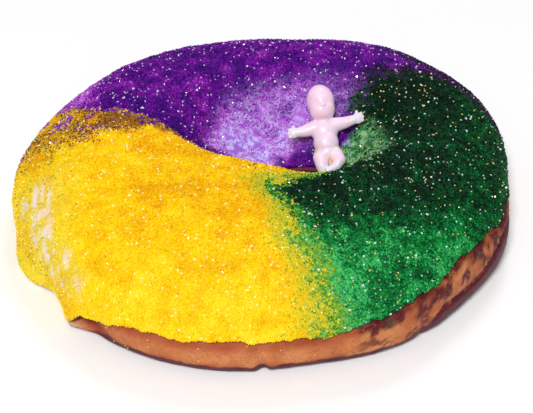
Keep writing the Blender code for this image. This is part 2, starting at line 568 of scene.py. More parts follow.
@dataclass(frozen=True)
class RingShape:
    """The iced ring's outer face, section by section around the throat's centre.

    A section's rows are named by v: 0 at the throat's foot, 1 at its upper end, 2 on the crest, 3 where the
    ring is widest and 4 on the table. Each of the tuples of 12 or 16 numbers goes once around, and each
    place on the side has an angle with how far it reaches to both sides.

    Attributes:
        hole: the throat's centre on X and Y.
        throat_share: how high the throat's wall ends, as a share of the height.
        bulge_share: how high the ring is widest, likewise.
        tuck: how far its foot draws in below that.
        rounds: how square the slope to the hole, the outer slope and the tuck are, 2 being an ellipse.
        outer: how far out the ring is widest.
        crest: how far out its crest lies.
        inner: how far out the throat's wall lies.
        height: how high the crest is.
        dished: how hollow the slope to the hole is, from 0 to 1.
        icing: how thick the icing is.
        gap: how far below it the dough lies.
        bare: how far the bare dough lies inside the even face.
        swell: over how much height below the icing's edge the dough fills out.
        edge: how high the icing's lower edge is.
        edge_waves: how many waves the edge has, how high they are and their phase.
        ragged: the same for its grains.
        drip: how high the icing ends in the throat.
        lowest: how high its edge is at its foot, where it runs down nearly to the table.
        foot: where that foot is.
        foot_stands: how far it stands out.
        foot_top: the heights at which it begins and is whole.
        foot_pool: how much of that is icing, as a share.
        lip: where the icing's lip is, beside the foot.
        lip_stands: how far it stands out.
        lip_dip: how far the edge dips there.
        lip_hollow: how hollow the dough's side is behind it.
        splay: where the dough's own foot spreads beside the lip.
        splay_stands: how far that stands out.
        flare_top: how high up the lip begins.
        laps: where each lap in the dough's side is, with its depth after its angle.
        lap_fade: the rows at which the laps begin and are whole.
        dents: where the side is pressed in between the foot and the lip, given as the laps are.
    """

    hole: tuple[float, float] = (16.9, 3.6)
    throat_share: float = 0.40
    bulge_share: float = 0.30
    tuck: float = 5.5
    rounds: Triple = (1.8, 2.35, 2.2)
    outer: tuple[float, ...] = (
        83.2, 88.6, 89, 87.6, 85.4, 92.2, 102.8, 110.4, 118.2, 114.6, 110, 101.8, 91.8, 88.8, 84.7, 84.7,
    )
    crest: tuple[float, ...] = (42, 50, 54, 54, 57, 63, 56, 36, 31, 31.5, 32, 34)
    inner: tuple[float, ...] = (13, 11, 9, 8, 9, 13, 17, 14, 11.5, 12, 12, 12.5)
    height: tuple[float, ...] = (38, 40, 41.3, 40.4, 40, 41, 41, 42, 42, 42, 41, 39)
    dished: tuple[float, ...] = (0.3, 0.5, 0.6, 0.6, 0.8, 0.8, 0.6, 0.2, 0.0, 0.0, 0.0, 0.1)
    icing: float = 2.2
    gap: float = 0.3
    bare: float = 0.3
    swell: float = 2.0
    edge: tuple[float, ...] = (16, 13, 11, 11, 11, 12, 12, 13.5, 17.2, 17.5, 22.7, 24.8)
    edge_waves: tuple[Triple, ...] = ((7, 0.5, 2.1), (12, 0.4, 4.0))
    ragged: tuple[Triple, ...] = (
        (23, 0.5, 1.2), (47, 0.32, 0.6), (83, 0.26, 2.9), (131, 0.2, 1.3),
    )
    drip: float = 17.2
    lowest: float = 0.8
    foot: tuple[float, float] = (math.radians(199), math.radians(15))
    foot_stands: float = 4.6
    foot_top: tuple[float, float] = (7.6, 3.4)
    foot_pool: float = 0.75
    lip: tuple[float, float] = (math.radians(221), math.radians(12))
    lip_stands: float = 6.0
    lip_dip: float = 4.0
    lip_hollow: float = 3.0
    splay: tuple[float, float] = (math.radians(215.5), math.radians(8))
    splay_stands: float = 4.4
    flare_top: float = 12.6
    laps: tuple[Triple, ...] = (
        (math.radians(259.5), 2.0, math.radians(2.0)),
        (math.radians(299.5), 0.7, math.radians(2.4)),
    )
    lap_fade: tuple[float, float] = (2.5, 3.2)
    dents: tuple[Triple, ...] = (
        (math.radians(207.5), 3.3, math.radians(6)),
        (math.radians(213.5), 1.2, math.radians(4)),
    )

    def skin(self, angle: Array, v: Array) -> tuple[Array, Array]:
        """Radius and height of the iced face.

        Args:
            angle: around the throat.
            v: the row in the section.

        Returns:
            The two, in millimetres.
        """
        inner, outer, top = around(self.inner, angle), around(self.outer, angle), around(self.height, angle)
        crest, dish = around(self.crest, angle), np.clip(around(self.dished, angle), 0, 1)
        throat, wide = self.throat_share * top, self.bulge_share * top
        inner_round, outer_round, tuck_round = self.rounds
        turn = np.where(v < 4, v % 1, 1.0) * math.pi / 2
        sine, cosine = np.sin(turn), np.clip(np.cos(turn), 0, 1)
        x = 1 - cosine ** (2 / inner_round)
        y = sine ** (2 / inner_round)
        hollow = 0.25 * y + 0.75 * (1 - np.cos(math.pi * x**1.5)) / 2
        radius = [
            inner + 2.0 * np.clip(1 - v, 0, 1) ** 3,
            inner + (crest - inner) * x,
            crest + (outer - crest) * sine ** (2 / outer_round),
            outer - self.tuck * (1 - cosine ** (2 / tuck_round)),
        ]
        height = [
            throat * v,
            throat + (top - throat) * ((1 - dish) * y + dish * hollow),
            wide + (top - wide) * cosine ** (2 / outer_round),
            wide * (1 - sine ** (2 / tuck_round)),
        ]
        bands = [v < 1, v < 2, v < 3, v <= 4]
        return np.select(bands, radius), np.select(bands, height)

    def inset(self, angle: Array, v: Array, depth: Array | float) -> tuple[Array, Array]:
        """The same, some way below the face.

        Args:
            angle: around the throat.
            v: the row in the section.
            depth: how far below, square to the face on top and level in the throat and under the bulge.

        Returns:
            Radius and height.
        """
        step = 1e-3
        r0, z0 = self.skin(angle, np.clip(v - step, 1, 3))
        r1, z1 = self.skin(angle, np.clip(v + step, 1, 3))
        size = np.maximum(np.hypot(r1 - r0, z1 - z0), 1e-12)
        wall, side = v < 1 + step, v > 3 - step
        out_r = np.where(wall, -1.0, np.where(side, 1.0, (z0 - z1) / size))
        out_z = np.where(wall | side, 0.0, (r1 - r0) / size)
        r, z = self.skin(angle, v)
        return r - depth * out_r, z - depth * out_z

    def v_at(self, angle: Array, height: Array | float, low: float, high: float) -> Array:
        """Where the face has a height, between two rows over which it only rises or only falls.

        Args:
            angle: around the throat.
            height: the height looked for.
            low: the row to start from.
            high: the row to end at.

        Returns:
            The row at each angle.
        """
        near, far = np.full_like(angle, low), np.full_like(angle, high)
        rising = self.skin(angle, far)[1] > self.skin(angle, near)[1]
        for _ in range(40):
            middle = (near + far) / 2
            below = (self.skin(angle, middle)[1] < height) == rising
            near, far = np.where(below, middle, near), np.where(below, far, middle)
        return (near + far) / 2

    def icing_edge(self, angle: Array) -> Array:
        """Height of the icing's lower edge.

        Args:
            angle: around the throat.

        Returns:
            The height at each angle, ragged by the grains along it.
        """
        waves = (*self.edge_waves, *self.ragged)
        ripple = sum(rise * np.sin(count * angle + phase) for count, rise, phase in waves)
        edge = around(self.edge, angle) + ripple - self.lip_dip * bump(angle, *self.lip)
        (middle, wide), lip = self.foot, self.lip[0]
        foot = smooth(0.1, 0.8, bump(angle, middle - 0.4 * wide, 2 * wide))
        run = smooth(middle - 0.1, middle + 0.1, angle) * smooth(lip, lip - 0.1, angle)
        foot = np.maximum(foot, 0.9 * run)
        return edge * (1 - foot) + self.lowest * foot

    def foot_flare(self, angle: Array, z: Array) -> Array:
        """How far the icing's foot stands out beyond the ring's face."""
        return self.foot_stands * bump(angle, *self.foot) * smooth(*self.foot_top, z)

    def lip_flare(self, angle: Array, z: Array) -> Array:
        """How far its lip stands out beyond the ring's face."""
        return self.lip_stands * bump(angle, *self.lip) * np.clip(1 - z / self.flare_top, 0, 1) ** 0.8

    def spread(self, angle: Array, z: Array) -> Array:
        """How far the dough stands out behind the lip: its foot spreads and the side above it is hollow."""
        splay = self.splay_stands * bump(angle, *self.splay) * smooth(7, 2, z)
        return splay - self.lip_hollow * bump(angle, self.lip[0], 0.75 * self.lip[1]) * smooth(2.5, 7, z)

    def dent(self, angle: Array, z: Array) -> Array:
        """How far the side is pressed in between the icing's foot and its lip."""
        return sum(deep * bump(angle, at, wide) for at, deep, wide in self.dents) * smooth(14, 6, z)

    def laps_at(self, angle: Array, v: Array) -> Array:
        """How deep the laps in the dough's side are pressed."""
        return sum(deep * bump(angle, at, wide) for at, deep, wide in self.laps) * smooth(*self.lap_fade, v)

    def points(self, angle: Array, radius: Array, height: Array) -> Array:
        """Points at these radii and heights around the throat."""
        x, y = self.hole[0] + radius * np.cos(angle), self.hole[1] + radius * np.sin(angle)
        return np.stack([x, y, height], axis=-1)

    def polar(self, points: Array) -> tuple[Array, Array]:
        """Distances of points from the throat's centre, and their angles about it in degrees."""
        dx, dy = points[..., 0] - self.hole[0], points[..., 1] - self.hole[1]
        return np.hypot(dx, dy), np.degrees(np.arctan2(dy, dx)) % 360

    def even_rows(self, angle: Array, start: Array, end: Array, near: Sequence[float], count: int) -> Array:
        """Rows spaced evenly along each section, closer together by both ends.

        Args:
            angle: around the throat, one for each column.
            start: the first row of each column.
            end: the last.
            near: distances from each end at which the close rows lie.
            count: how many rows lie between those.

        Returns:
            v for each row and column.
        """
        shares = np.linspace(0, 1, 400)[:, None]
        path = start + (end - start) * shares
        r, z = self.skin(np.broadcast_to(angle, path.shape), path)
        steps = np.hypot(np.diff(r, axis=0), np.diff(z, axis=0))
        length = np.concatenate([np.zeros((1, len(angle))), np.cumsum(steps, axis=0)])
        close = np.asarray(near, float)
        columns = []
        for k in range(len(angle)):
            whole = length[-1, k]
            between = np.linspace(close[-1], whole - close[-1], count + 2)[1:-1]
            wanted = np.concatenate([close, between, whole - close[::-1]])
            columns.append(np.interp(wanted, length[:, k], path[:, k]))
        return np.stack(columns, axis=1)


# ---- where the sugars lie ---------------------------------------------------------------------------


@dataclass(frozen=True)
class Lie:
    """Where each corner of the icing lies, and how uneven the sugar is there.

    Attributes:
        x: its place along X, and the next two along Y and Z.
        radius: its distance from the hole's centre, and degrees its angle there.
        soft: lumps of a middling size, from about -1 to 1, with wide and fine ones after them.
        to_gold: how far it lies past the border from purple to gold, and so on for the other two borders.
    """

    x: Array
    y: Array
    z: Array
    radius: Array
    degrees: Array
    soft: Array
    wide: Array
    fine: Array
    to_gold: Array
    to_green: Array
    to_purple: Array

    @property
    def stray(self) -> Array:
        """How far the grains stray over a border."""
        return 1.3 * self.soft + 1.0 * self.wide + 0.6 * self.fine

    @property
    def in_front(self) -> Array:
        """False on the far right, where being past the borders from or to gold means nothing."""
        return self.degrees > 140

    @property
    def leftmost(self) -> Array:
        """1 at the cake's left end, falling to 0 by its middle."""
        return smooth(-66, -84, self.x)

    @property
    def ledge(self) -> Array:
        """1 over the middle of the icing's left foot, falling to 0 beside it."""
        return bump(np.radians(self.degrees), math.radians(200), math.radians(10))

    @property
    def near_green(self) -> Array:
        """1 close to the border between gold and green, wider low on the front."""
        wide = 11 + 6 * smooth(80, 90, self.radius)
        return smooth(wide, 3, np.abs(self.to_green + 1.5 * self.stray))

    @property
    def skirt(self) -> Array:
        """1 along the streaky band low on the left.

        Returns:
            From 0 to 1.
        """
        level = self.z - np.interp(self.degrees, (188, 195, 204, 211, 219), (26, 27.5, 23, 22, 21))
        along = smooth(188, 192, self.degrees) * smooth(221, 217, self.degrees)
        return along * smooth(8, 3, np.abs(level))

    @property
    def pale(self) -> Array:
        """1 on the patch of thin green sugar by the baby's hand.

        Returns:
            From 0 to 1.
        """
        past_right = np.where(self.degrees < 180, self.degrees + 360, self.degrees)
        patch = smooth(38, 29, self.radius + 2 * self.soft) * smooth(13, 18, self.radius)
        patch = patch * smooth(350, 360, past_right)
        return patch * smooth(404, 396, past_right) * (0.8 + 0.2 * smooth(-0.5, 0.4, self.soft))


@dataclass(frozen=True)
class SugarBands:
    """Which sugar lies where on the ring.

    Each border is a run of distances from the hole's centre in millimetres with its angle in degrees there.
    """

    purple_to_gold: Pairs = (
        (10, 190), (40, 184), (50, 178), (57, 174), (63, 170.5),
        (74, 168.5), (86, 167.5), (100, 164.5), (118, 162),
    )
    gold_to_green: Pairs = (
        (22, 284), (27, 268), (32, 250), (38, 241), (43, 252), (48, 260),
        (55, 262.6), (62, 266), (72, 271.4), (82, 272.4), (90, 272.6),
    )
    green_to_purple: Pairs = (
        (12, 38), (25, 41), (31, 46), (36, 53), (43, 53), (50, 50),
        (60, 45), (69, 38), (76, 31), (80, 23), (84, 12), (90, 4),
    )

    def lie(self, shape: RingShape, points: Array) -> Lie:
        """Finds where corners lie.

        Args:
            shape: the ring.
            points: the corners.

        Returns:
            Their places, with the unevenness there and how far past each border they are.
        """
        lumps = (Unevenness(size, seed).at(points) for size, seed in ((5.0, 3), (15.0, 5), (2.2, 7)))
        radius, degrees = shape.polar(points)
        borders = (self.purple_to_gold, self.gold_to_green, self.green_to_purple)
        past = (np.radians(degrees - np.interp(radius, *zip(*border))) * radius for border in borders)
        return Lie(points[..., 0], points[..., 1], points[..., 2], radius, degrees, *lumps, *past)

    def amounts(self, lie: Lie) -> tuple[Array, Array, Array, Array]:
        """How much of each sugar lies somewhere.

        Args:
            lie: where.

        Returns:
            The purple, the gold and the green, and then the strip of gold in which the two mingle.
        """
        radius, soft, fine = lie.radius, lie.soft, lie.fine
        gold_side = smooth(-1.6, 1.8, lie.to_gold + lie.stray)
        reach = np.interp(radius, (24, 40, 60, 80, 90), (10, 7, 5, 7, 8.5))
        green_side = smooth(-0.6 * reach, 0.6 * reach, lie.to_green + 1.5 * lie.stray + 0.5 * reach * fine)
        blur = np.interp(radius, (20, 38, 50, 80), (3, 5, 6, 5))
        purple_side = smooth(-0.6 * blur, 0.6 * blur, lie.to_purple + 2 * lie.stray + 0.5 * blur * fine)
        purple, gold = purple_side * (1 - gold_side), gold_side * (1 - green_side)

        strip_wide = np.interp(radius, (50, 60, 74, 86, 100, 118), (3, 5, 12, 19, 32, 38))
        strip = smooth(1.25, 0.6, lie.to_gold / strip_wide + 0.2 * soft + 0.1 * lie.wide)
        strip = strip * gold_side * lie.in_front
        specks = strip * smooth(0.0, 0.6, soft + 0.5 * fine) * 0.5
        purple, gold = purple + gold * specks, gold * (1 - specks)
        return purple, gold, np.clip(1 - purple - gold, 0, 1), strip

    def runs(self, lie: Lie, strip: Array) -> dict[str, Array]:
        """How far the sugars have run into each other.

        Args:
            lie: where.
            strip: where purple and gold mingle.

        Returns:
            Numbers by name: plum in the purple, mud and olive in the gold, and lime in the green. The olive
            along the crease above the ledge is painted shade.
        """
        radius, degrees, soft, fine, stray = lie.radius, lie.degrees, lie.soft, lie.fine, lie.stray
        plum = smooth(13, 2, np.abs(lie.to_purple + 2 * stray))
        plum = plum * np.interp(radius, (24, 34, 46, 60), (0, 0.35, 0.7, 1))
        far_right = smooth(66, 76, radius) * smooth(70, 48, degrees)

        mud = strip * np.interp(radius, (80, 98), (1.0, 0.62)) * smooth(-1.1, -0.2, lie.wide + 0.6 * soft)
        by_hole = smooth(37, 27, radius + 2 * soft) * smooth(194, 206, degrees) * smooth(300, 286, degrees)
        mud = np.maximum(mud, 0.14 * by_hole * smooth(-0.5, 0.3, soft + 0.3 * fine))
        seam = smooth(2.6, 0.6, np.abs(lie.to_gold + stray - 0.6))

        olive = smooth(-15, -1, lie.to_green + 2.0 * stray) * smooth(9, 0, lie.to_green + stray)
        olive = np.maximum(olive * lie.in_front, 0.16 * lie.leftmost)
        # Olive grains along the crease above the ledge: painted shade.
        crease_shade = lie.ledge * smooth(6.0, 1.0, np.abs(lie.z - 13.0 + soft))

        lime = lie.near_green * np.interp(radius, (24, 34, 52, 72, 84), (0.9, 0.6, 0.6, 0.9, 1.0))
        stray_lime = smooth(3, -2, lie.to_green + 1.5 * stray) * lie.in_front
        return {
            "purple_bled": np.maximum(plum, 0.9 * far_right),
            "gold_bled": np.maximum(mud, 0.7 * seam),
            "gold_tinged": np.maximum(olive, 0.3 * crease_shade),
            "green_bled": np.maximum(lime, stray_lime),
        }

    def thinness(self, lie: Lie) -> Array:
        """How thinly the sugar lies: on the slope into the hole, on one patch and low on the left.

        Args:
            lie: where.

        Returns:
            From 0 to 1.
        """
        radius, soft, wide = lie.radius, lie.soft, lie.wide
        slope = smooth(49, 33, radius + 4 * wide + 2.5 * soft) * smooth(11, 19, radius + 1.5 * soft)
        at, share = zip((46, 0), (62, 0.42), (100, 0.55), (130, 0.85), (152, 1), (168, 0.9), (178, 0))
        slope = slope * np.interp(lie.degrees, at, share)
        thin = slope * (0.62 + 0.38 * smooth(-0.5, 0.6, wide + 0.6 * soft))
        left = 0.24 * lie.leftmost * smooth(184, 192, lie.degrees)
        return np.max([thin, 0.75 * lie.pale, 0.45 * lie.skirt, left], axis=0)

    def bareness(self, lie: Lie) -> Array:
        """How bare the icing is: in streaks low on the left, one blot above them and along the rim below.

        Args:
            lie: where.

        Returns:
            From 0 to 1.
        """
        degrees, z = lie.degrees, lie.z
        streak = Unevenness(1.3, 9).at(np.stack([lie.x, z / 2.4, 0 * z], axis=-1))
        streaks = lie.skirt * smooth(0.2, 0.66, streak + 0.18 * lie.soft + 0.12 * lie.fine - 0.05)
        blot = smooth(3.2, 1.6, np.hypot(np.radians(degrees - 198.6) * 108, z - 28) + 0.8 * lie.fine)
        rim = smooth(2.8, 1.8, z) * smooth(194, 198, degrees) * smooth(219, 215, degrees)
        return np.max([streaks, 0.9 * blot * (degrees > 180), 0.8 * rim], axis=0)

    def tone_and_painted_light(self, lie: Lie, amounts: Sequence[Array], strip: Array, thin: Array) -> Array:
        """How light the sugar's colour is: its own uneven tone, with painted light and shade laid into it.

        Args:
            lie: where.
            amounts: how much purple, gold and green lies there.
            strip: where purple and gold mingle.
            thin: how thinly the sugar lies.

        Returns:
            About 0 for the darkest shade and 1 for the palest.
        """
        purple, gold, green = amounts
        x, y, z, radius, soft, wide = lie.x, lie.y, lie.z, lie.radius, lie.soft, lie.wide
        light = 0.44 + 0.2 * soft + 0.11 * wide + 0.07 * lie.fine
        orange = smooth(34, 12, np.hypot((x + 27) / 1.3, y + 30))
        # Painted light on the ledge of the icing's left foot, and painted shade along the crease above it.
        ledge_lit_crease_shaded = lie.ledge * (smooth(8.5, 5.5, z) - 0.8 * smooth(4.0, 0.5, np.abs(z - 11.5)))
        by_purple = smooth(30, 8, lie.to_gold) * smooth(34, 39, z)
        # The gold is painted lighter low on its flank, a painted light, and slightly darker towards the left
        # end, a painted shade.
        in_gold = 0.06 - 0.34 * strip + 0.14 * smooth(38, 27, z) - 0.1 * orange + 0.34 * ledge_lit_crease_shaded
        light = light + gold * (in_gold - 0.04 * lie.leftmost - 0.06 * by_purple)

        # The green is painted lighter at the front and darker at the back: painted light and shade over its
        # own tone.
        front, back = smooth(-30, -62, y + 4 * wide), smooth(0, 34, y + 4 * wide)
        deep = smooth(18, 5, np.hypot(x - 56, (y + 75) / 1.2) + 2 * soft)
        side = smooth(52, 78, radius)
        in_green = 0.06 * lie.fine - 0.1 * soft - 0.05 * wide + 0.36 * front + 0.22 * lie.near_green
        in_green = in_green + 0.2 * side - 0.12 * back + 0.2 * lie.pale - 0.13 * deep - 0.24
        light = light + green * in_green

        # The purple beside the gold, in the valley at the left end of the hollow, is painted darker: painted
        # shade.
        beside = smooth(22, 4, -lie.to_gold) * smooth(88, 78, radius) * smooth(38, 46, radius)
        in_purple = 0.36 * strip + 0.78 * thin + 0.3 * smooth(84, 100, radius) - 0.2 * beside - 0.04
        return light + purple * in_purple

    def weigh(self, shape: RingShape, points: Array) -> dict[str, Array]:
        """Works out every number that the icing and the sugar read.

        Args:
            shape: the ring.
            points: the corners to weigh.

        Returns:
            Numbers from 0 to 1 by name: how much of each sugar lies there, how far another has run into
            it, how thin the sugar is, how light its colour is, painted light and shade included, and how bare
            the icing is.
        """
        lie = self.lie(shape, points)
        purple, gold, green, strip = self.amounts(lie)
        thin = self.thinness(lie)
        found = {
            "purple": purple,
            "gold": gold,
            "green": green,
            **self.runs(lie, strip),
            "thin": thin,
            "bare": self.bareness(lie),
            "light": self.tone_and_painted_light(lie, (purple, gold, green), strip, thin),
        }
        return {name: np.clip(values, 0, 1) for name, values in found.items()}


# ---- the pieces -------------------------------------------------------------------------------------


@dataclass(frozen=True)
class CrustFinish:
    """The look of the baked crust: tan in clouds, dark red where it turns under and where colour ran.

    Attributes:
        tans: the side, from the most baked to the least.
        browned_and_shaded: darker close under the icing: a browner crust, with painted shade under its edge
            and behind its lip.
        mid_side_lighter: lighter along the middle of the side, where it bulges furthest.
        floury: behind the icing's lip.
        freckles: small dark dots.
        stains: where the sugar's colour ran, in two shades.
        smear: a few smudges.
        under: where the side turns under, dark red in two shades, partly baked darker, partly painted shade.
        throat: the wall of the hole, darkened purple-red in two shades: painted shade down the hole.
    """

    tans: tuple[Tint, Tint, Tint] = (Tint(152, 66, 30), Tint(182, 98, 50), Tint(216, 142, 88))
    browned_and_shaded: Tint = Tint(150, 54, 28)
    mid_side_lighter: Tint = Tint(222, 142, 84)
    floury: Tint = Tint(232, 206, 170)
    freckles: Tint = Tint(120, 44, 28)
    stains: tuple[Tint, Tint] = (Tint(50, 0, 10), Tint(104, 8, 16))
    smear: Tint = Tint(66, 66, 44)
    under: tuple[Tint, Tint] = (Tint(62, 2, 22), Tint(104, 14, 36))
    throat: tuple[Tint, Tint] = (Tint(58, 6, 56), Tint(108, 12, 34))

    def material(self) -> bpy.types.Material:
        """Makes the material.

        Returns:
            The material, which reads the crust's marks.
        """
        recipe = Recipe("baked_crust")
        mark_of = recipe.attribute
        clouds, fine = recipe.noise(13, 3), recipe.noise(1.5, 3, 0.6)
        tan = recipe.ramp(clouds.step(0.3, 0.7) * 0.7 + fine * 0.3, tuple(zip((0.0, 0.45, 1.0), self.tans)))
        # Close under the icing: a browner crust with painted shade, and painted shadow in the hollow behind
        # the lip.
        tan = recipe.blend(mark_of("browned_and_shaded") * 0.75, tan, self.browned_and_shaded)
        tan = recipe.blend(mark_of("mid_side_lighter") * 0.4 * fine.step(0.2, 0.6), tan, self.mid_side_lighter)
        tan = recipe.blend(mark_of("pale") * 0.85, tan, self.floury)
        dots = Value(recipe, recipe.cells(1.3).outputs["Distance"]).step(0.36, 0.14)
        tan = recipe.blend(dots * clouds.step(0.44, 0.56) * 0.5, tan, self.freckles)
        stained = recipe.blend(fine.step(0.35, 0.65), *self.stains)
        tan = recipe.blend(mark_of("stain") * fine.step(0.24, 0.46), tan, stained)
        tan = recipe.blend(mark_of("smear") * 0.8, tan, self.smear)
        # Dark red where the side turns under: partly a darker baked crust, partly painted shade.
        tan = recipe.blend(mark_of("tuck"), tan, recipe.blend(fine.step(0.3, 0.7), *self.under))
        # Painted shade down the hole: its wall is darkened purple-red.
        throat = recipe.blend(fine.step(0.35, 0.65), *self.throat)
        tan = recipe.blend(mark_of("throat") * 0.92, tan, throat)
        bubbles = recipe.noise(0.9, 2) * 0.6 + clouds * 0.4
        return recipe.finish(
            Base_Color=tan,
            Roughness=0.5 + 0.2 * fine,
            Specular_IOR_Level=0.3,
            Normal=recipe.relief(bubbles, 0.25, 0.6),
        )


@dataclass
class BakedRing:
    """The dough: a brown side below the icing, the throat, and a flat darker underside.

    Attributes:
        shape: the ring that it fills.
        columns: how many corners it has around.
        throat_rows: loops up the throat.
        iced_rows: loops under the icing.
        side_rows: loops down the bare side.
        base_rows: loops across the underside.
        tucked: angles in degrees, each with the height up to which the side is dark and turns under.
        smears: the angle in degrees, the height and the reach of each smudge on the side.
        floury: the middle and half width of the pale foot behind the icing's lip.
        finish: its look.
    """

    shape: RingShape
    columns: int = 512
    throat_rows: int = 14
    iced_rows: int = 16
    side_rows: int = 44
    base_rows: int = 8
    tucked: Pairs = (
        (0, 8), (60, 5), (205, 5), (212, 1), (220, 1.5), (226, 5.4), (245, 4.8), (296, 4.8), (302, 6.6),
        (306, 11.5), (313, 11), (322, 11.5), (328, 14), (334, 17), (344, 17), (352, 11), (360, 8),
    )
    smears: tuple[Triple, ...] = ((289.7, 17.0, 2.6), (322.5, 21.0, 2.4), (319.0, 13.5, 1.5))
    floury: tuple[float, float] = (math.radians(215.5), math.radians(6))
    finish: CrustFinish = CrustFinish()

    def rows(self, angle: Array, edge: Array) -> tuple[Array, Array]:
        """The loops from the throat's foot to the table.

        Args:
            angle: around the throat.
            edge: the height of the icing's lower edge there.

        Returns:
            v for each row and column, and whether the row is under the icing.
        """
        shape = self.shape
        first = shape.v_at(angle, shape.drip - 1.4, 0.9, 2)
        start = shape.v_at(angle, shape.drip + 0.2, 1, 2)
        end = shape.v_at(angle, edge + 0.5, 2, 4)
        throat = first * np.linspace(0, 1, self.throat_rows)[:, None]
        iced = start + (end - start) * np.linspace(0, 1, self.iced_rows)[:, None]
        side = end + (4 - end) * np.linspace(0, 1, self.side_rows + 1)[1:, None] ** 1.1
        v = np.concatenate([throat, iced, side])
        under = np.zeros(len(v), bool)
        under[self.throat_rows:self.throat_rows + self.iced_rows] = True
        return v, under

    def relief(self, points: Array) -> Array:
        """How far the crust stands back from an even face.

        Args:
            points: on the even face.

        Returns:
            Depths in millimetres.
        """
        z = points[..., 2]
        wide = Unevenness(15, 21, 2).at(points, (1, 1, 1.6))
        wrinkles = Unevenness(3.2, 23, 2).at(points, (2.6, 2.6, 0.7))
        pores = smooth(0.5, 0.9, Unevenness(1.9, 25, 1).at(points))
        low = smooth(8, 2, z)
        return 0.22 * wide + (0.05 + 0.16 * low) * wrinkles + 0.16 * pores

    def crease(self, angle: Array, z: Array) -> Array:
        """How deep the fold is pressed under which the side turns dark, with the swelling below it.

        Args:
            angle: around the throat.
            z: heights.

        Returns:
            Depths in millimetres, less than 0 where it swells.
        """
        degrees = np.degrees(angle)
        above = z - np.interp(degrees, *zip(*self.tucked))
        along = smooth(301, 306, degrees) * smooth(350, 338, degrees)
        fold = 1.2 * np.exp(-((above / 0.8) ** 2)) - 0.5 * smooth(0, -2, above) * smooth(0.2, 1.5, z)
        return along * fold

    def build(self) -> bpy.types.Mesh:
        """Makes the crust's mesh with its marks.

        Returns:
            The mesh.
        """
        shape = self.shape
        angle = np.arange(self.columns) * math.tau / self.columns
        edge = shape.icing_edge(angle)
        v, under = self.rows(angle, edge)
        around_all = np.broadcast_to(angle, v.shape)
        r, z = shape.skin(around_all, v)
        points = shape.points(around_all, r, z)
        outer, inner = smooth(edge - shape.swell, edge, z), smooth(shape.drip - 1.2, shape.drip, z)
        covered = np.where(v > 2, outer, inner)
        covered[under] = 1
        uneven = shape.laps_at(around_all, v) + self.relief(points) * smooth(0, 0.8, z)
        uneven = uneven + shape.bare + self.crease(around_all, z)
        depth = (shape.icing + shape.gap) * covered + uneven * (1 - covered)
        r, z = shape.inset(around_all, v, depth)
        r = r + shape.spread(around_all, z) * (v > 2) * (1 - smooth(edge - 1.0, edge + 1.0, z))
        r = r - shape.dent(around_all, z) * (v > 2)
        loops = shape.points(around_all, r, z)
        shares = np.linspace(0, 1, self.base_rows + 2)[1:-1, None, None]
        base = loops[-1] + (loops[0] - loops[-1]) * shares
        loops = np.concatenate([loops, base])
        mesh = new_mesh("baked_ring", loops.reshape(-1, 3), grid_faces(len(loops), self.columns))
        for name, values in self.marks(loops, edge).items():
            mark(mesh, name, values)
        return mesh

    def marks(self, points: Array, edge: Array) -> dict[str, Array]:
        """Where the crust is stained, and where a few grains of sugar lie on it.

        Args:
            points: the mesh's corners, by row and column.
            edge: the height of the icing's lower edge for each column.

        Returns:
            Numbers from 0 to 1 by name.
        """
        z = points[..., 2]
        radius, degrees = self.shape.polar(points)
        soft, fine = Unevenness(4.5, 31, 2).at(points), Unevenness(1.6, 33, 2).at(points)
        outside = smooth(45, 60, radius)
        below = edge - z
        run = smooth(278, 286, degrees) * smooth(356, 346, degrees)
        bleed = run * smooth(7.5, 1.5, below - 4.2 * soft - 1.6 * fine)
        bleed = bleed * (0.55 + 0.45 * smooth(322, 312, degrees))
        blots = run * smooth(0.0, 0.3, soft * 0.8 + 0.5 * fine)
        tucked = np.interp(degrees, *zip(*self.tucked))
        # Dark where the side turns under: partly a darker baked crust, partly painted shade.
        tuck = smooth(tucked + 1.0, tucked - 0.5, z - 0.5 * soft - 0.5 * fine) * outside
        lip, lip_wide = self.shape.lip
        # The hollow behind the icing's lip gets painted shadow, here and in the colour where the side turns
        # under.
        hollow = bump(np.radians(degrees), lip, 0.8 * lip_wide) * smooth(2.5, 6, z)
        smear = sum(self.spot(points, *smear) for smear in self.smears)
        fallen = 0.012 * outside * smooth(0.4, 1.2, z) * (z < edge) * (0.3 + 0.7 * smooth(7, 1, below))
        front = (degrees > 200) & (degrees < 276)
        green = (degrees >= 276) | (degrees < 40)
        absent = ("purple_bled", "gold_bled", "gold_tinged", "green_bled", "sparkle")
        return {
            "stain": outside * np.clip(0.95 * bleed + 0.8 * blots, 0, 1),
            # Painted shade under the icing's edge on a browner crust, and painted shadow in the hollow behind
            # the lip.
            "browned_and_shaded": outside * np.maximum(smooth(6.5, 0.0, below - 1.2 * soft), 1.3 * hollow),
            "pale": outside * bump(np.radians(degrees), *self.floury) * smooth(6.0, 2.0, z),
            "mid_side_lighter": outside * smooth(5.5, 8.5, z - 0.8 * soft) * smooth(15, 11, z - 0.8 * soft),
            # With painted shadow in the hollow behind the lip.
            "tuck": np.maximum(tuck, 0.3 * hollow * outside),
            # Painted shade on the wall of the hole.
            "throat": smooth(36, 28, radius),
            "smear": np.clip(smear, 0, 1) * outside,
            "purple": fallen * ~(front | green),
            "gold": fallen * front,
            "green": fallen * green,
            "light": np.full(z.shape, 0.6),
            **dict.fromkeys(absent, np.zeros(z.shape)),
        }

    def spot(self, points: Array, at: float, height: float, wide: float) -> Array:
        """One soft round smudge on the side.

        Args:
            points: the mesh's corners.
            at: its angle in degrees.
            height: its height.
            wide: how far it reaches.

        Returns:
            1 in its middle, falling to 0 outside.
        """
        radius, degrees = self.shape.polar(points)
        away = np.hypot(np.radians(degrees - at) * radius, points[..., 2] - height)
        return smooth(wide, 0.35 * wide, away - 0.35 * wide * Unevenness(1.2, 35).at(points))

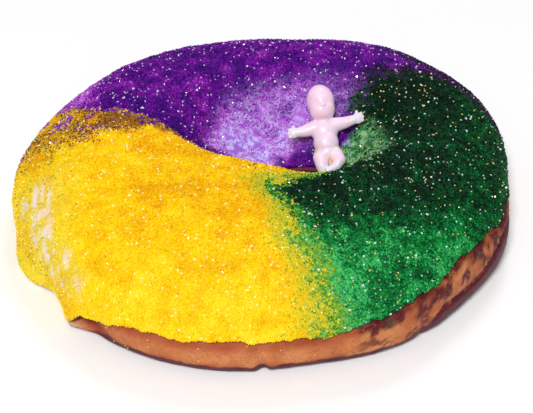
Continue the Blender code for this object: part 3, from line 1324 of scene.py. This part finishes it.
    def dress(self) -> bpy.types.Object:
        """Puts the crust in the scene in place of the plain solid.

        Returns:
            The crust's object.
        """
        mesh = self.build()
        mesh.materials.append(self.finish.material())
        made = place("baked_crust", mesh)
        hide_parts("dough")
        return made


@dataclass(frozen=True)
class BedFinish:
    """The look of the icing under its bed of fine sugar, each grain in one of the colours that meet there.

    Attributes:
        icing: the icing where no sugar lies.
        cut: its unsugared back.
        grain: how far apart the fine grains lie.
        levels: where each sugar's shades stand, from dark to light.
    """

    icing: Tint = Tint(242, 222, 212)
    cut: Tint = Tint(240, 226, 204)
    grain: float = 0.75
    levels: tuple[float, ...] = (0.1, 0.3, 0.5, 0.7, 0.9)

    def grains(
        self, recipe: Recipe, sugar: Sugar, tone: Value, shade: Value, scarce: Value
    ) -> bpy.types.NodeSocket:
        """The colour of one sugar's fine grains.

        Args:
            recipe: what adds to the material.
            sugar: which sugar.
            tone: how light its colour is, painted light and shade included.
            shade: a random number for each grain.
            scarce: another.

        Returns:
            The colour's socket.
        """
        finish = FINISHES[sugar]
        own = recipe.ramp(tone, tuple(zip(self.levels, finish.shades)))
        ran = recipe.blend(shade, finish.bled[0], finish.bled[-1])
        own = recipe.blend((scarce < recipe.attribute(f"{sugar.value}_bled")) * 0.9, own, ran)
        if finish.tinged:
            tinge = recipe.blend(shade, finish.tinged[0], finish.tinged[-1])
            own = recipe.blend(recipe.attribute(f"{sugar.value}_tinged") * 0.85, own, tinge)
        return own

    def material(self) -> bpy.types.Material:
        """Makes the material.

        Returns:
            The material, which reads the icing's marks.
        """
        recipe = Recipe("sugar_bed")
        cells = recipe.cells(self.grain)
        pick, shade, scarce = recipe.parts(cells.outputs["Color"])
        # The light mark carries painted light and shade into the bed's colour, besides its own tone.
        tone = (recipe.attribute("light") + (shade - 0.5) * 0.34).kept()
        soft = recipe.noise(2.6, 3, 0.55)
        thin = (recipe.attribute("thin") * (0.7 + 0.8 * soft)).kept()
        colours = {}
        for sugar in Sugar:
            thinly = recipe.blend(soft.step(0.36, 0.62), *FINISHES[sugar].thin)
            colours[sugar] = recipe.blend(thin, self.grains(recipe, sugar, tone, shade, scarce), thinly)
        purple, gold = recipe.attribute("bed_purple"), recipe.attribute("bed_gold")
        is_purple = pick < purple
        is_gold = (pick < purple + gold) * (1 - is_purple)
        bed = recipe.blend(is_gold, colours[Sugar.GREEN], colours[Sugar.GOLD])
        bed = recipe.blend(is_purple, bed, colours[Sugar.PURPLE])
        bed = recipe.blend(recipe.attribute("bare") * 0.92, bed, self.icing)
        bed = recipe.blend(recipe.attribute("cut"), bed, self.cut)
        return recipe.finish(
            Base_Color=bed,
            Roughness=0.38 + 0.3 * scarce,
            Specular_IOR_Level=0.14,
            Normal=recipe.relief(1 - Value(recipe, cells.outputs["Distance"]), 0.35, 0.8),
        )


@dataclass
class IcingShell:
    """The icing with its bed of fine coloured sugar, poured over the ring.

    Attributes:
        shape: the ring that it covers.
        bands: where each sugar lies.
        columns: how many corners it has around.
        rows: how many even loops its face has.
        back_step: how many of those loops each loop of its back stands for.
        near: how far from each edge its close loops lie.
        rim: how round its edges are.
        finish: its look.
    """

    shape: RingShape
    bands: SugarBands
    columns: int = 688
    rows: int = 120
    back_step: int = 12
    near: tuple[float, ...] = (0.0, 0.15, 0.35, 0.65, 1.1)
    rim: float = 1.1
    finish: BedFinish = BedFinish()

    def relief(self, points: Array, marks: Mapping[str, Array]) -> Array:
        """How far the sugared face stands proud.

        Args:
            points: on the even face.
            marks: what lies there.

        Returns:
            Heights in millimetres.
        """
        heap = 0.24 * Unevenness(11, 41, 2).at(points) + 0.2 * Unevenness(4.2, 43, 2).at(points)
        grain = 0.14 * Unevenness(1.7, 45, 1).at(points)
        loose = (1 - 0.75 * marks["bare"]) * (1 - 0.45 * marks["thin"])
        return (heap + grain) * loose - 0.25 * marks["bare"]

    def build(self) -> bpy.types.Mesh:
        """Makes the shell's mesh with its marks.

        Returns:
            The mesh.
        """
        shape = self.shape
        angle = np.arange(self.columns) * math.tau / self.columns
        start = shape.v_at(angle, shape.drip, 1, 2)
        end = shape.v_at(angle, shape.icing_edge(angle), 2, 4)
        v = shape.even_rows(angle, start, end, self.near, self.rows)
        whole = np.broadcast_to(angle, v.shape)
        flat = shape.points(whole, *shape.skin(whole, v))
        marks = self.bands.weigh(shape, flat)
        keep = sorted({0, len(v) - 1, *range(0, len(v), self.back_step)}, reverse=True)
        face = self.shell(whole, v, self.face_depth(flat, marks), 1.0)
        back = self.shell(whole[keep], v[keep], shape.icing, 1 - shape.foot_pool)
        loops = np.concatenate([face, back])
        mesh = new_mesh("icing", loops.reshape(-1, 3), grid_faces(len(loops), self.columns))
        sugars = {sugar.value for sugar in Sugar}
        for name, values in marks.items():
            if name in sugars:
                mark(mesh, f"bed_{name}", np.concatenate([values, values[keep]]))
                values = values * (1 - 0.93 * marks["bare"]) * (1 - 0.86 * marks["thin"])
            unsugared_back = np.zeros((len(keep), self.columns))
            mark(mesh, name, np.concatenate([values, unsugared_back if name in sugars else values[keep]]))
        on_face = np.broadcast_to((np.arange(len(loops)) < len(v))[:, None], loops.shape[:2]).astype(float)
        mark(mesh, "sparkle", on_face)
        mark(mesh, "cut", 1 - on_face)
        return mesh

    def face_depth(self, flat: Array, marks: Mapping[str, Array]) -> Array:
        """How far the sugared face lies below the even one: rounded at both edges, uneven between them.

        Args:
            flat: corners on the even face, by row and column.
            marks: what lies there.

        Returns:
            Depths in millimetres.
        """
        close = np.asarray(self.near)
        away = np.full(len(flat), close[-1])
        away[:len(close)] = close
        away[-len(close):] = close[::-1]
        rounding = self.rim - np.sqrt(np.clip(self.rim**2 - (self.rim - away) ** 2, 0, None))
        return rounding[:, None] - self.relief(flat, marks) * (away / close[-1])[:, None]

    def shell(self, angle: Array, v: Array, depth: Array | float, foot: float) -> Array:
        """The loops of the face or of the back, with the foot, the lip and the pressed side.

        Args:
            angle: around the throat.
            v: the rows.
            depth: how far below the even face they lie.
            foot: the share of the foot's flare that they follow.

        Returns:
            Points by row and column.
        """
        shape = self.shape
        r, z = shape.inset(angle, v, depth)
        out = foot * shape.foot_flare(angle, z) + shape.lip_flare(angle, z) - shape.dent(angle, z) * (v > 2)
        return shape.points(angle, r + out, z)

    def dress(self) -> bpy.types.Object:
        """Puts the icing in the scene in place of the plain shell.

        Returns:
            The icing's object.
        """
        mesh = self.build()
        mesh.materials.append(self.finish.material())
        made = place("icing_bed", mesh)
        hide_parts("icing")
        return made


class Draw(IntEnum):
    """The random draws of a scatter, each with its own seed."""

    LIFT = 1
    SHADE = 2
    TURN = 3
    STRETCH = 4
    FAMILY = 10


@dataclass
class Scatter:
    """Crystals of one kind, strewn over the icing and a few over the crust by Geometry Nodes.

    Attributes:
        name: the piece's name.
        amount: the name of the number that says how thickly they lie.
        families: their materials in one or more families: their own, from the darkest, and any others.
        shares: the name of a number or a plain share for each family after the first.
        size: a crystal's length in millimetres.
        per_square: the most that lie on a square millimetre.
        apart: how close two may lie, in millimetres.
        cubes: whether they are blocks, and not eight-sided.
        seed: which of all such scatters it is.
    """

    name: str
    amount: str
    families: Sequence[Sequence[bpy.types.Material]]
    shares: Sequence[str | float]
    size: float
    per_square: float
    apart: float
    cubes: bool
    seed: int

    def random(self, nodes: Nodes, low: object, high: object, draw: int, kind: str = "FLOAT") -> Value:
        """A random value for each crystal.

        Args:
            nodes: what adds to the tree.
            low: the least.
            high: the most.
            draw: which of its random draws it is.
            kind: whether it is a number or a vector.

        Returns:
            The value.
        """
        tail = "" if kind == "FLOAT_VECTOR" else "_001"
        inputs = {"Min" + tail: low, "Max" + tail: high, "Seed": self.seed * 17 + draw}
        made = nodes.add("FunctionNodeRandomValue", {"data_type": kind}, inputs)
        return Value(nodes, next(socket for socket in made.outputs if socket.enabled))

    def stored(self, nodes: Nodes, name: str, kind: str = "FLOAT") -> Value:
        """A number stored on the corners or the points.

        Args:
            nodes: what adds to the tree.
            name: what the number is called.
            kind: its type.

        Returns:
            The number.
        """
        made = nodes.add("GeometryNodeInputNamedAttribute", {"data_type": kind}, {"Name": name})
        return Value(nodes, next(socket for socket in made.outputs if socket.enabled))

    def crystal(self, nodes: Nodes, size: bpy.types.NodeSocket) -> bpy.types.NodeSocket:
        """One crystal, a block or an eight-sided grain.

        Args:
            nodes: what adds to the tree.
            size: its length.

        Returns:
            The crystal's geometry.
        """
        if self.cubes:
            sides = nodes.add("ShaderNodeCombineXYZ", {}, {"X": size, "Y": size, "Z": size})
            return nodes.add("GeometryNodeMeshCube", {}, {"Size": sides.outputs["Vector"]}).outputs["Mesh"]
        inputs = {"Segments": 4, "Rings": 2, "Radius": Value(nodes, size) * 0.5}
        return nodes.add("GeometryNodeMeshUVSphere", {}, inputs).outputs["Mesh"]

    def numbered(self, nodes: Nodes) -> Value:
        """The number of each crystal's material: by how light it is in its own family, by chance in others.

        Args:
            nodes: what adds to the tree.

        Returns:
            The number, counted over all the families.
        """
        count = len(self.families[0])
        # The light mark carries painted light and shade, so the crystals' shades take it too.
        light = self.stored(nodes, "light") + self.random(nodes, -0.26, 0.26, Draw.SHADE)
        number = (light * float(count)).math("FLOOR").math("MINIMUM", count - 1.0).math("MAXIMUM", 0.0)
        for k, (family, share) in enumerate(zip(self.families[1:], self.shares)):
            wanted = self.stored(nodes, share) if isinstance(share, str) else share
            draw = Draw.FAMILY + 2 * k
            taken = self.random(nodes, 0.0, 1.0, draw) < wanted
            other = self.random(nodes, 0.0, len(family) - 0.001, draw + 1).math("FLOOR") + float(count)
            number = number + (other - number) * taken
            count += len(family)
        return number

    def strewn(self, nodes: Nodes, given: bpy.types.NodeOutputs) -> bpy.types.NodeSocket:
        """The crystals' places.

        Args:
            nodes: what adds to the tree.
            given: the tree's named inputs.

        Returns:
            The points, each a little off the surface.
        """
        joined = nodes.add("GeometryNodeJoinGeometry")
        for name in ("Crust", "Icing"):
            whole = nodes.add("GeometryNodeObjectInfo", {}, {"Object": given[name]})
            nodes.feed(joined.inputs[0], whole.outputs["Geometry"])
        inputs = {
            "Mesh": joined.outputs[0],
            "Distance Min": given["Closest"],
            "Density Max": given["Most per square metre"],
            "Density Factor": self.stored(nodes, self.amount),
            "Seed": given["Seed"],
        }
        strewn = nodes.add("GeometryNodeDistributePointsOnFaces", {"distribute_method": "POISSON"}, inputs)
        lift = self.random(nodes, -0.2, 0.24, Draw.LIFT) * Value(nodes, given["Crystal length"])
        inputs = {"Vector": strewn.outputs["Normal"], "Scale": lift}
        offset = nodes.add("ShaderNodeVectorMath", {"operation": "SCALE"}, inputs)
        inputs = {"Geometry": strewn.outputs["Points"], "Offset": offset.outputs["Vector"]}
        return nodes.add("GeometryNodeSetPosition", {}, inputs).outputs["Geometry"]

    def tree(self) -> bpy.types.NodeTree:
        """The tree that strews the crystals.

        Returns:
            The tree, with its objects and sizes as named inputs.
        """
        tree = bpy.data.node_groups.new(f"Strew {self.name}", "GeometryNodeTree")
        output = tree.interface.new_socket("Geometry", in_out="OUTPUT", socket_type="NodeSocketGeometry")
        kinds = {
            "Object": ("Icing", "Crust"),
            "Float": ("Crystal length", "Most per square metre", "Closest"),
            "Int": ("Seed",),
        }
        for kind, names in kinds.items():
            for name in names:
                tree.interface.new_socket(name, in_out="INPUT", socket_type=f"NodeSocket{kind}")
        nodes = Nodes(tree)
        given = nodes.add("NodeGroupInput").outputs
        settings = {"data_type": "INT", "domain": "POINT"}
        inputs = {"Geometry": self.strewn(nodes, given), "Name": "shade", "Value": self.numbered(nodes)}
        stored = nodes.add("GeometryNodeStoreNamedAttribute", settings, inputs)
        inputs = {
            "Points": stored.outputs["Geometry"],
            "Instance": self.crystal(nodes, given["Crystal length"]),
            "Rotation": self.random(nodes, (0.0,) * 3, (math.tau,) * 3, Draw.TURN, "FLOAT_VECTOR"),
            "Scale": self.random(nodes, (0.6, 0.6, 0.5), (1.25, 1.1, 0.95), Draw.STRETCH, "FLOAT_VECTOR"),
        }
        crystals = nodes.add("GeometryNodeInstanceOnPoints", {}, inputs)
        real = nodes.add("GeometryNodeRealizeInstances", {}, {"Geometry": crystals.outputs["Instances"]})
        made, number = real.outputs["Geometry"], self.stored(nodes, "shade", "INT")
        for i, material in enumerate(material for family in self.families for material in family):
            inputs = {"A_INT": number, "B_INT": i}
            same = nodes.add("FunctionNodeCompare", {"data_type": "INT", "operation": "EQUAL"}, inputs)
            inputs = {"Geometry": made, "Selection": same.outputs["Result"], "Material": material}
            made = nodes.add("GeometryNodeSetMaterial", {}, inputs).outputs["Geometry"]
        nodes.add("NodeGroupOutput", {}, {output.identifier: made})
        return tree

    def dress(self, icing: bpy.types.Object, crust: bpy.types.Object) -> bpy.types.Object:
        """Strews the crystals and puts them in the scene as one plain mesh.

        Args:
            icing: the dressed icing.
            crust: the dressed dough.

        Returns:
            The crystals' object.
        """
        carrier = bpy.data.objects.new(self.name, bpy.data.meshes.new(self.name))
        bpy.context.scene.collection.objects.link(carrier)
        strew = carrier.modifiers.new("Strew", "NODES")
        strew.node_group = self.tree()
        sizes = {
            "Icing": icing,
            "Crust": crust,
            "Crystal length": self.size * MM,
            "Most per square metre": self.per_square / MM**2,
            "Closest": self.apart * MM,
            "Seed": self.seed,
        }
        for name, value in sizes.items():
            strew[strew.node_group.interface.items_tree[name].identifier] = value
        carrier.update_tag()
        bpy.context.view_layer.update()
        evaluated = carrier.evaluated_get(bpy.context.evaluated_depsgraph_get())
        mesh = bpy.data.meshes.new_from_object(evaluated)
        group = strew.node_group
        carrier.modifiers.remove(strew)
        bpy.data.objects.remove(carrier, do_unlink=True)
        bpy.data.node_groups.remove(group)
        spare = [each for each in mesh.attributes if not each.is_internal and not each.is_required]
        for name in [each.name for each in spare if each.name not in ("material_index", "sharp_face")]:
            mesh.attributes.remove(mesh.attributes[name])
        made = place(self.name, mesh)
        return made


class Gloss(Enum):
    """How a crystal's faces shine: their roughness and their specular level."""

    FROSTED = (0.3, 0.09)
    GLINTING = (0.12, 0.8)
    CLEAR = (0.08, 0.9)

    def crystals(self, name: str, tints: Sequence[Tint]) -> list[bpy.types.Material]:
        """One material for each of some tints.

        Args:
            name: what the materials are called, before their number.
            tints: their colours.

        Returns:
            The materials, in the same order.
        """
        roughness, shine = self.value
        return [
            Recipe(f"{name}_{k}").finish(Base_Color=tint, Roughness=roughness, Specular_IOR_Level=shine)
            for k, tint in enumerate(tints, 1)
        ]


@dataclass
class Sugars:
    """All the loose crystals: a coarse sugar in each of the three colours, and a few large clear ones.

    Attributes:
        size: a coloured crystal's length.
        per_square: the most that lie on a square millimetre.
        apart: how close two may lie.
        glinting: the share of the crystals that are clear enough to glint.
        clear: the tints of the clear crystals, near white: partly the look of clear sugar, partly a painted
            glint.
        lemon: their tints over the gold, pale yellow: a painted glint in the gold's colour.
    """

    size: float = 0.95
    per_square: float = 5.0
    apart: float = 0.56
    glinting: float = 0.034
    thinned: float = 0.15
    clear: tuple[Tint, Tint] = (Tint(246, 244, 248), Tint(230, 246, 244))
    lemon: tuple[Tint, Tint] = (Tint(255, 248, 150), Tint(255, 250, 196))

    def coloured(self, sugar: Sugar, seed: int) -> Scatter:
        """One coloured sugar's crystals.

        Args:
            sugar: which sugar.
            seed: which of the scatters it is.

        Returns:
            How they are strewn.
        """
        name, finish = sugar.value, FINISHES[sugar]
        density = self.per_square * 1.0
        families = [Gloss.FROSTED.crystals(f"{name}_crystal", finish.shades)]
        families.append(Gloss.FROSTED.crystals(f"{name}_crystal_run", finish.bled))
        shares = [f"{name}_bled"]
        if finish.tinged:
            families.append(Gloss.FROSTED.crystals(f"{name}_crystal_tinged", finish.tinged))
            shares.append(f"{name}_tinged")
        # The clearest crystals shine, and their pale tint is a painted highlight.
        families.append(Gloss.GLINTING.crystals(f"{name}_crystal_clear", finish.glints_painted_pale))
        shares.append(self.glinting)
        sizes = {"size": self.size, "per_square": density, "apart": self.apart}
        return Scatter(f"{name}_sugar", name, families, shares, **sizes, cubes=False, seed=seed)

    def dress(self, icing: bpy.types.Object, crust: bpy.types.Object) -> list[bpy.types.Object]:
        """Strews every kind.

        Args:
            icing: the dressed icing.
            crust: the dressed dough.

        Returns:
            One object for each kind.
        """
        kinds = [self.coloured(sugar, seed) for seed, sugar in enumerate(Sugar, 1)]
        # Near-white clear crystals are partly a painted glint; the pale yellow ones over the gold are a
        # painted glint.
        families = [
            Gloss.CLEAR.crystals("clear_crystal", self.clear),
            Gloss.CLEAR.crystals("lemon_crystal", self.lemon),
        ]
        sizes = {"size": 0.75, "per_square": 0.010, "apart": 1.5}
        kinds.append(Scatter("clear_sugar", "sparkle", families, ["gold"], **sizes, cubes=True, seed=9))
        return [kind.dress(icing, crust) for kind in kinds]


@dataclass(frozen=True)
class PlasticFinish:
    """The look of the baby's glossy plastic.

    Attributes:
        pinks: its two shades.
        clear: the thin hands and feet, and a painted highlight laid lightly over the torso.
        yellowed: where gold sugar has stained it.
    """

    pinks: tuple[Tint, Tint] = (Tint(252, 211, 236), Tint(254, 225, 243))
    clear: Tint = Tint(228, 226, 238)
    yellowed: Tint = Tint(232, 206, 120)

    def material(self) -> bpy.types.Material:
        """Makes the material.

        Returns:
            The material, which reads the baby's marks.
        """
        recipe = Recipe("baby_plastic")
        clouds = recipe.noise(6, 2)
        pink = recipe.blend(clouds.step(0.3, 0.7), *self.pinks)
        pink = recipe.blend(recipe.attribute("clear") * 0.8, pink, self.clear)
        pink = recipe.blend(recipe.attribute("yellowed") * 0.7, pink, self.yellowed)
        return recipe.finish(
            Base_Color=pink,
            Roughness=0.3 + 0.1 * clouds,
            Specular_IOR_Level=0.5,
            Subsurface_Weight=0.25,
            Subsurface_Radius=(1.0, 0.5, 0.6),
            Subsurface_Scale=1.5 * MM,
            Normal=recipe.relief(recipe.noise(1.1, 2), 0.03, 0.5),
        )


@dataclass
class Baby:
    """The plastic baby: moulded in one piece, its arms out and its feet in the hole.

    Its own frame has Z along the body from the hips up and X to its left side, and it faces -Y.

    Attributes:
        hip: where its hips lie on the cake.
        recline: its body's angle above level.
        lean: its body's lean towards -X.
        grain: the cell of the remeshing that joins its limbs.
        limb_step: how far apart a limb's balls lie.
        balls: the middle and the three radii of each rounded part: the head, chin, nose, chest, belly, hips,
            the two hands and the seat.
        limbs: x, y, z and the radius at each point of the neck, the arms, the legs, the fingers and the toes.
        dimples: the middle, reach and depth of the eyes, the mouth and the navel.
        worn: the middle and reach of each yellowed place.
        finish: its look.
    """

    hip: Triple = (26.3, 10.0, 25.8)
    recline: float = math.radians(42)
    lean: float = math.radians(8)
    grain: float = 0.26
    limb_step: float = 0.45
    balls: tuple[tuple[Triple, Triple], ...] = (
        ((0.2, 0.2, 21.7), (5.8, 6.2, 7.0)),
        ((0.3, -1.1, 18.1), (5.3, 5.0, 5.2)),
        ((0.6, -6.0, 19.2), (0.9, 0.7, 0.9)),
        ((0.1, 0.3, 9.6), (5.7, 4.2, 5.6)),
        ((0.0, -0.3, 4.4), (5.2, 4.5, 5.8)),
        ((0.0, 0.2, 0.4), (5.6, 4.4, 4.1)),
        ((-12.6, -1.0, 10.1), (2.1, 1.5, 2.4)),
        ((0.4, 0.4, -3.0), (2.3, 2.2, 2.9)),
        ((14.2, -1.0, 12.5), (2.2, 1.5, 2.4)),
    )
    limbs: tuple[tuple[tuple[float, float, float, float], ...], ...] = (
        ((0.2, 0.0, 12.0, 3.4), (0.3, 0.0, 16.0, 3.4)),
        ((-3.8, 0.2, 11.2, 3.2), (-7.8, -0.2, 10.3, 2.5), (-11.2, -0.8, 10.0, 1.9)),
        ((3.8, 0.2, 11.2, 3.2), (8.3, -0.2, 11.5, 2.5), (12.7, -0.8, 12.2, 1.9)),
        ((-2.8, -0.6, -1.4, 3.5), (-3.1, -1.7, -5.0, 2.6), (-2.6, -1.5, -8.8, 2.0)),
        ((2.9, -0.8, -1.0, 3.3), (4.3, -2.7, -3.8, 2.5), (2.6, -3.2, -6.2, 1.9), (-0.3, -3.7, -7.3, 1.5)),
        ((-12.9, -1.1, 10.9, 0.85), (-14.2, -1.3, 11.5, 0.7)),
        ((-13.0, -1.1, 9.9, 0.85), (-14.6, -1.3, 10.0, 0.7)),
        ((-13.0, -1.1, 8.9, 0.85), (-14.3, -1.3, 8.5, 0.7)),
        ((-12.2, -1.4, 11.5, 0.8), (-12.4, -1.9, 12.5, 0.65)),
        ((14.5, -1.1, 13.6, 0.85), (15.8, -1.3, 14.2, 0.7)),
        ((14.6, -1.1, 12.6, 0.85), (16.3, -1.3, 12.8, 0.7)),
        ((14.6, -1.1, 11.6, 0.85), (16.0, -1.3, 11.3, 0.7)),
        ((13.8, -1.4, 14.2, 0.8), (14.0, -1.9, 15.2, 0.65)),
        ((-0.8, -4.1, -6.9, 0.8), (-1.7, -4.4, -7.0, 0.65)),
        ((-0.7, -4.1, -8.0, 0.8), (-1.7, -4.4, -8.3, 0.65)),
    )
    dimples: tuple[tuple[Triple, float, float], ...] = (
        ((-2.0, -5.7, 20.4), 1.5, 0.28),
        ((3.0, -5.7, 20.4), 1.5, 0.28),
        ((0.7, -6.2, 16.6), 1.0, 0.16),
        ((0.0, -5.0, 3.6), 1.1, 0.14),
    )
    worn: tuple[tuple[Triple, float], ...] = (
        ((0.5, -1.9, -3.0), 2.3),
        ((10.6, -2.0, 12.4), 1.1),
        ((-5.0, -2.4, 1.5), 2.0),
    )
    finish: PlasticFinish = PlasticFinish()

    def ball(self, bm: bmesh.types.BMesh, centre: Sequence[float], radii: Sequence[float]) -> None:
        """Adds one ball, stretched to its three radii."""
        spot = Matrix.LocRotScale(Vector(centre) * MM, None, Vector(radii) * MM)
        bmesh.ops.create_icosphere(bm, subdivisions=3, radius=1.0, matrix=spot)

    def limb(self, bm: bmesh.types.BMesh, points: Sequence[Sequence[float]]) -> None:
        """Adds balls along a run of points, close enough to make one rounded limb.

        Args:
            bm: the mesh being made.
            points: x, y, z and the radius at each.
        """
        for a, b in zip(points, points[1:]):
            steps = math.ceil(math.dist(a[:3], b[:3]) / self.limb_step)
            for k in range(steps + 1):
                x, y, z, r = (p + (q - p) * k / steps for p, q in zip(a, b))
                self.ball(bm, (x, y, z), (r, r, r))

    def cast(self) -> bpy.types.Mesh:
        """Joins the baby's balls and limbs into one smooth body in its own frame.

        Returns:
            The mesh.
        """
        bm = bmesh.new()
        for centre, radii in self.balls:
            self.ball(bm, centre, radii)
        for points in self.limbs:
            self.limb(bm, points)
        mesh = bpy.data.meshes.new("baby")
        bm.to_mesh(mesh)
        bm.free()
        carrier = bpy.data.objects.new("baby_cast", mesh)
        bpy.context.scene.collection.objects.link(carrier)
        join = carrier.modifiers.new("Join the limbs", "REMESH")
        join.mode = "VOXEL"
        join.voxel_size = self.grain * MM
        soften = carrier.modifiers.new("Soften the joins", "SMOOTH")
        soften.factor = 0.5
        soften.iterations = 9
        bpy.context.view_layer.update()
        evaluated = carrier.evaluated_get(bpy.context.evaluated_depsgraph_get())
        made = bpy.data.meshes.new_from_object(evaluated)
        bpy.data.objects.remove(carrier, do_unlink=True)
        return made

    def build(self) -> bpy.types.Mesh:
        """Presses the face and the navel in, marks the worn places and lays the baby in the hole.

        Returns:
            The mesh, where the baby lies.
        """
        mesh = self.cast()
        points, normals = read(mesh, "co") / MM, read(mesh, "normal")
        depth = np.zeros(len(points))
        for centre, wide, deep in self.dimples:
            away = np.linalg.norm(points - np.asarray(centre), axis=1)
            depth += deep * np.exp(-((away / wide) ** 2))
        moved = points - normals * depth[:, None]
        turn = Matrix.Rotation(-(math.pi / 2 - self.recline), 3, "X") @ Matrix.Rotation(-self.lean, 3, "Y")
        laid = moved @ np.array(turn).T + np.asarray(self.hip)
        mesh.vertices.foreach_set("co", (laid * MM).astype(np.float32).ravel())
        x, z = points[:, 0], points[:, 2]
        hands, feet = smooth(9.4, 11.4, np.abs(x - 0.9)), smooth(-4.4, -5.4, z)
        # The torso is whitened a little: a painted highlight.
        chest = 0.3 * smooth(14, 11, z) * smooth(-2, 1, z)
        mark(mesh, "clear", np.clip(hands + feet + chest, 0, 1))
        mark(mesh, "yellowed", np.max([self.spot(points, *place) for place in self.worn], axis=0))
        mesh.shade_smooth()
        return mesh

    def spot(self, points: Array, at: Sequence[float], wide: float) -> Array:
        """1 in the middle of a soft round mark, falling to 0 at its reach."""
        return smooth(wide, 0.4 * wide, np.linalg.norm(points - np.asarray(at), axis=1))

    def dress(self) -> bpy.types.Object:
        """Puts the baby in the scene in place of its solid.

        Returns:
            The baby's object.
        """
        mesh = self.build()
        mesh.materials.clear()
        mesh.materials.append(self.finish.material())
        made = place("plastic_baby", mesh)
        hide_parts("baby")
        return made


# ---- the setting ------------------------------------------------------------------------------------


@dataclass(frozen=True)
class Lamp:
    """A round soft lamp.

    Attributes:
        name: its name.
        at: its place in metres.
        size: its width in metres.
        power: its watts.
    """

    name: str
    at: Triple
    size: float
    power: float

    def hang(self, target: Vector) -> None:
        """Adds the lamp to the scene.

        Args:
            target: what it points at, in metres.
        """
        data = bpy.data.lights.new(self.name, "AREA")
        data.shape = "DISK"
        data.size = self.size
        data.energy = self.power
        made = bpy.data.objects.new(self.name, data)
        made.location = self.at
        made.rotation_euler = (target - Vector(self.at)).to_track_quat("-Z", "Y").to_euler()
        bpy.context.scene.collection.objects.link(made)


@dataclass
class Studio:
    """A pale floor, soft light and the camera.

    Attributes:
        target: what the camera looks at, in millimetres.
        elevation: how far above level it stands.
        distance: how far from the target, in metres.
        lens: its focal length.
        shift: its sideways shift, in widths of the frame.
        lamps: a main lamp above the camera and a weaker one behind.
        sky: the strength of the even white sky.
        half_floor: half the floor's width, in metres.
    """

    target: Triple = (-0.2, -10.8, 15.0)
    elevation: float = math.radians(40)
    distance: float = 0.6
    lens: float = 101.1
    shift: float = 0.0075
    lamps: tuple[Lamp, Lamp] = (
        Lamp("main_lamp", (-0.22, -1.03, 1.4), 0.5, 22),
        Lamp("back_lamp", (0.3, 1.2, 1.5), 0.6, 8),
    )
    sky: float = 0.35
    half_floor: float = 3.0

    def floor(self) -> bpy.types.Object:
        """A wide white floor on z = 0.

        Returns:
            The floor's object.
        """
        half = self.half_floor
        corners = [(-half, -half, 0), (half, -half, 0), (half, half, 0), (-half, half, 0)]
        mesh = bpy.data.meshes.new("floor")
        mesh.from_pydata(corners, [], [(0, 1, 2, 3)])
        recipe = Recipe("floor_paint")
        shade = recipe.blend(recipe.noise(400, 2), Tint(251, 251, 251), Tint(254, 254, 254))
        mesh.materials.append(recipe.finish(Base_Color=shade, Roughness=0.9, Specular_IOR_Level=0.0))
        made = bpy.data.objects.new("floor", mesh)
        bpy.context.scene.collection.objects.link(made)
        return made

    def light(self) -> None:
        """Hangs the lamps and makes the sky."""
        for lamp in self.lamps:
            lamp.hang(Vector((0, 0, 0.02)))
        world = bpy.data.worlds.new("sky")
        world.use_nodes = True
        background = world.node_tree.nodes["Background"]
        background.inputs["Color"].default_value = (1, 1, 1, 1)
        background.inputs["Strength"].default_value = self.sky
        bpy.context.scene.world = world

    def camera(self) -> None:
        """The camera, looking down at the cake from in front."""
        data = bpy.data.cameras.new("camera")
        data.lens = self.lens
        data.sensor_width = 36
        data.shift_x = self.shift
        data.clip_start = 0.01
        made = bpy.data.objects.new("camera", data)
        away = Vector((0, -math.cos(self.elevation), math.sin(self.elevation))) * self.distance
        made.location = Vector(self.target) * MM + away
        made.rotation_euler = (math.pi / 2 - self.elevation, 0, 0)
        bpy.context.scene.collection.objects.link(made)
        bpy.context.scene.camera = made

    def build(self) -> None:
        """Sets everything up."""
        self.floor()
        self.light()
        self.camera()
        bpy.context.scene.view_settings.view_transform = "Standard"


def main() -> None:
    """Builds every piece in order."""
    logging.basicConfig(level=logging.INFO, format="%(name)s %(message)s")
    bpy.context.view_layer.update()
    Studio().build()
    shape = RingShape()
    crust = BakedRing(shape).dress()
    icing = IcingShell(shape, SugarBands()).dress()
    Sugars().dress(icing, crust)
    Baby().dress()


if __name__ == "__main__":
    main()
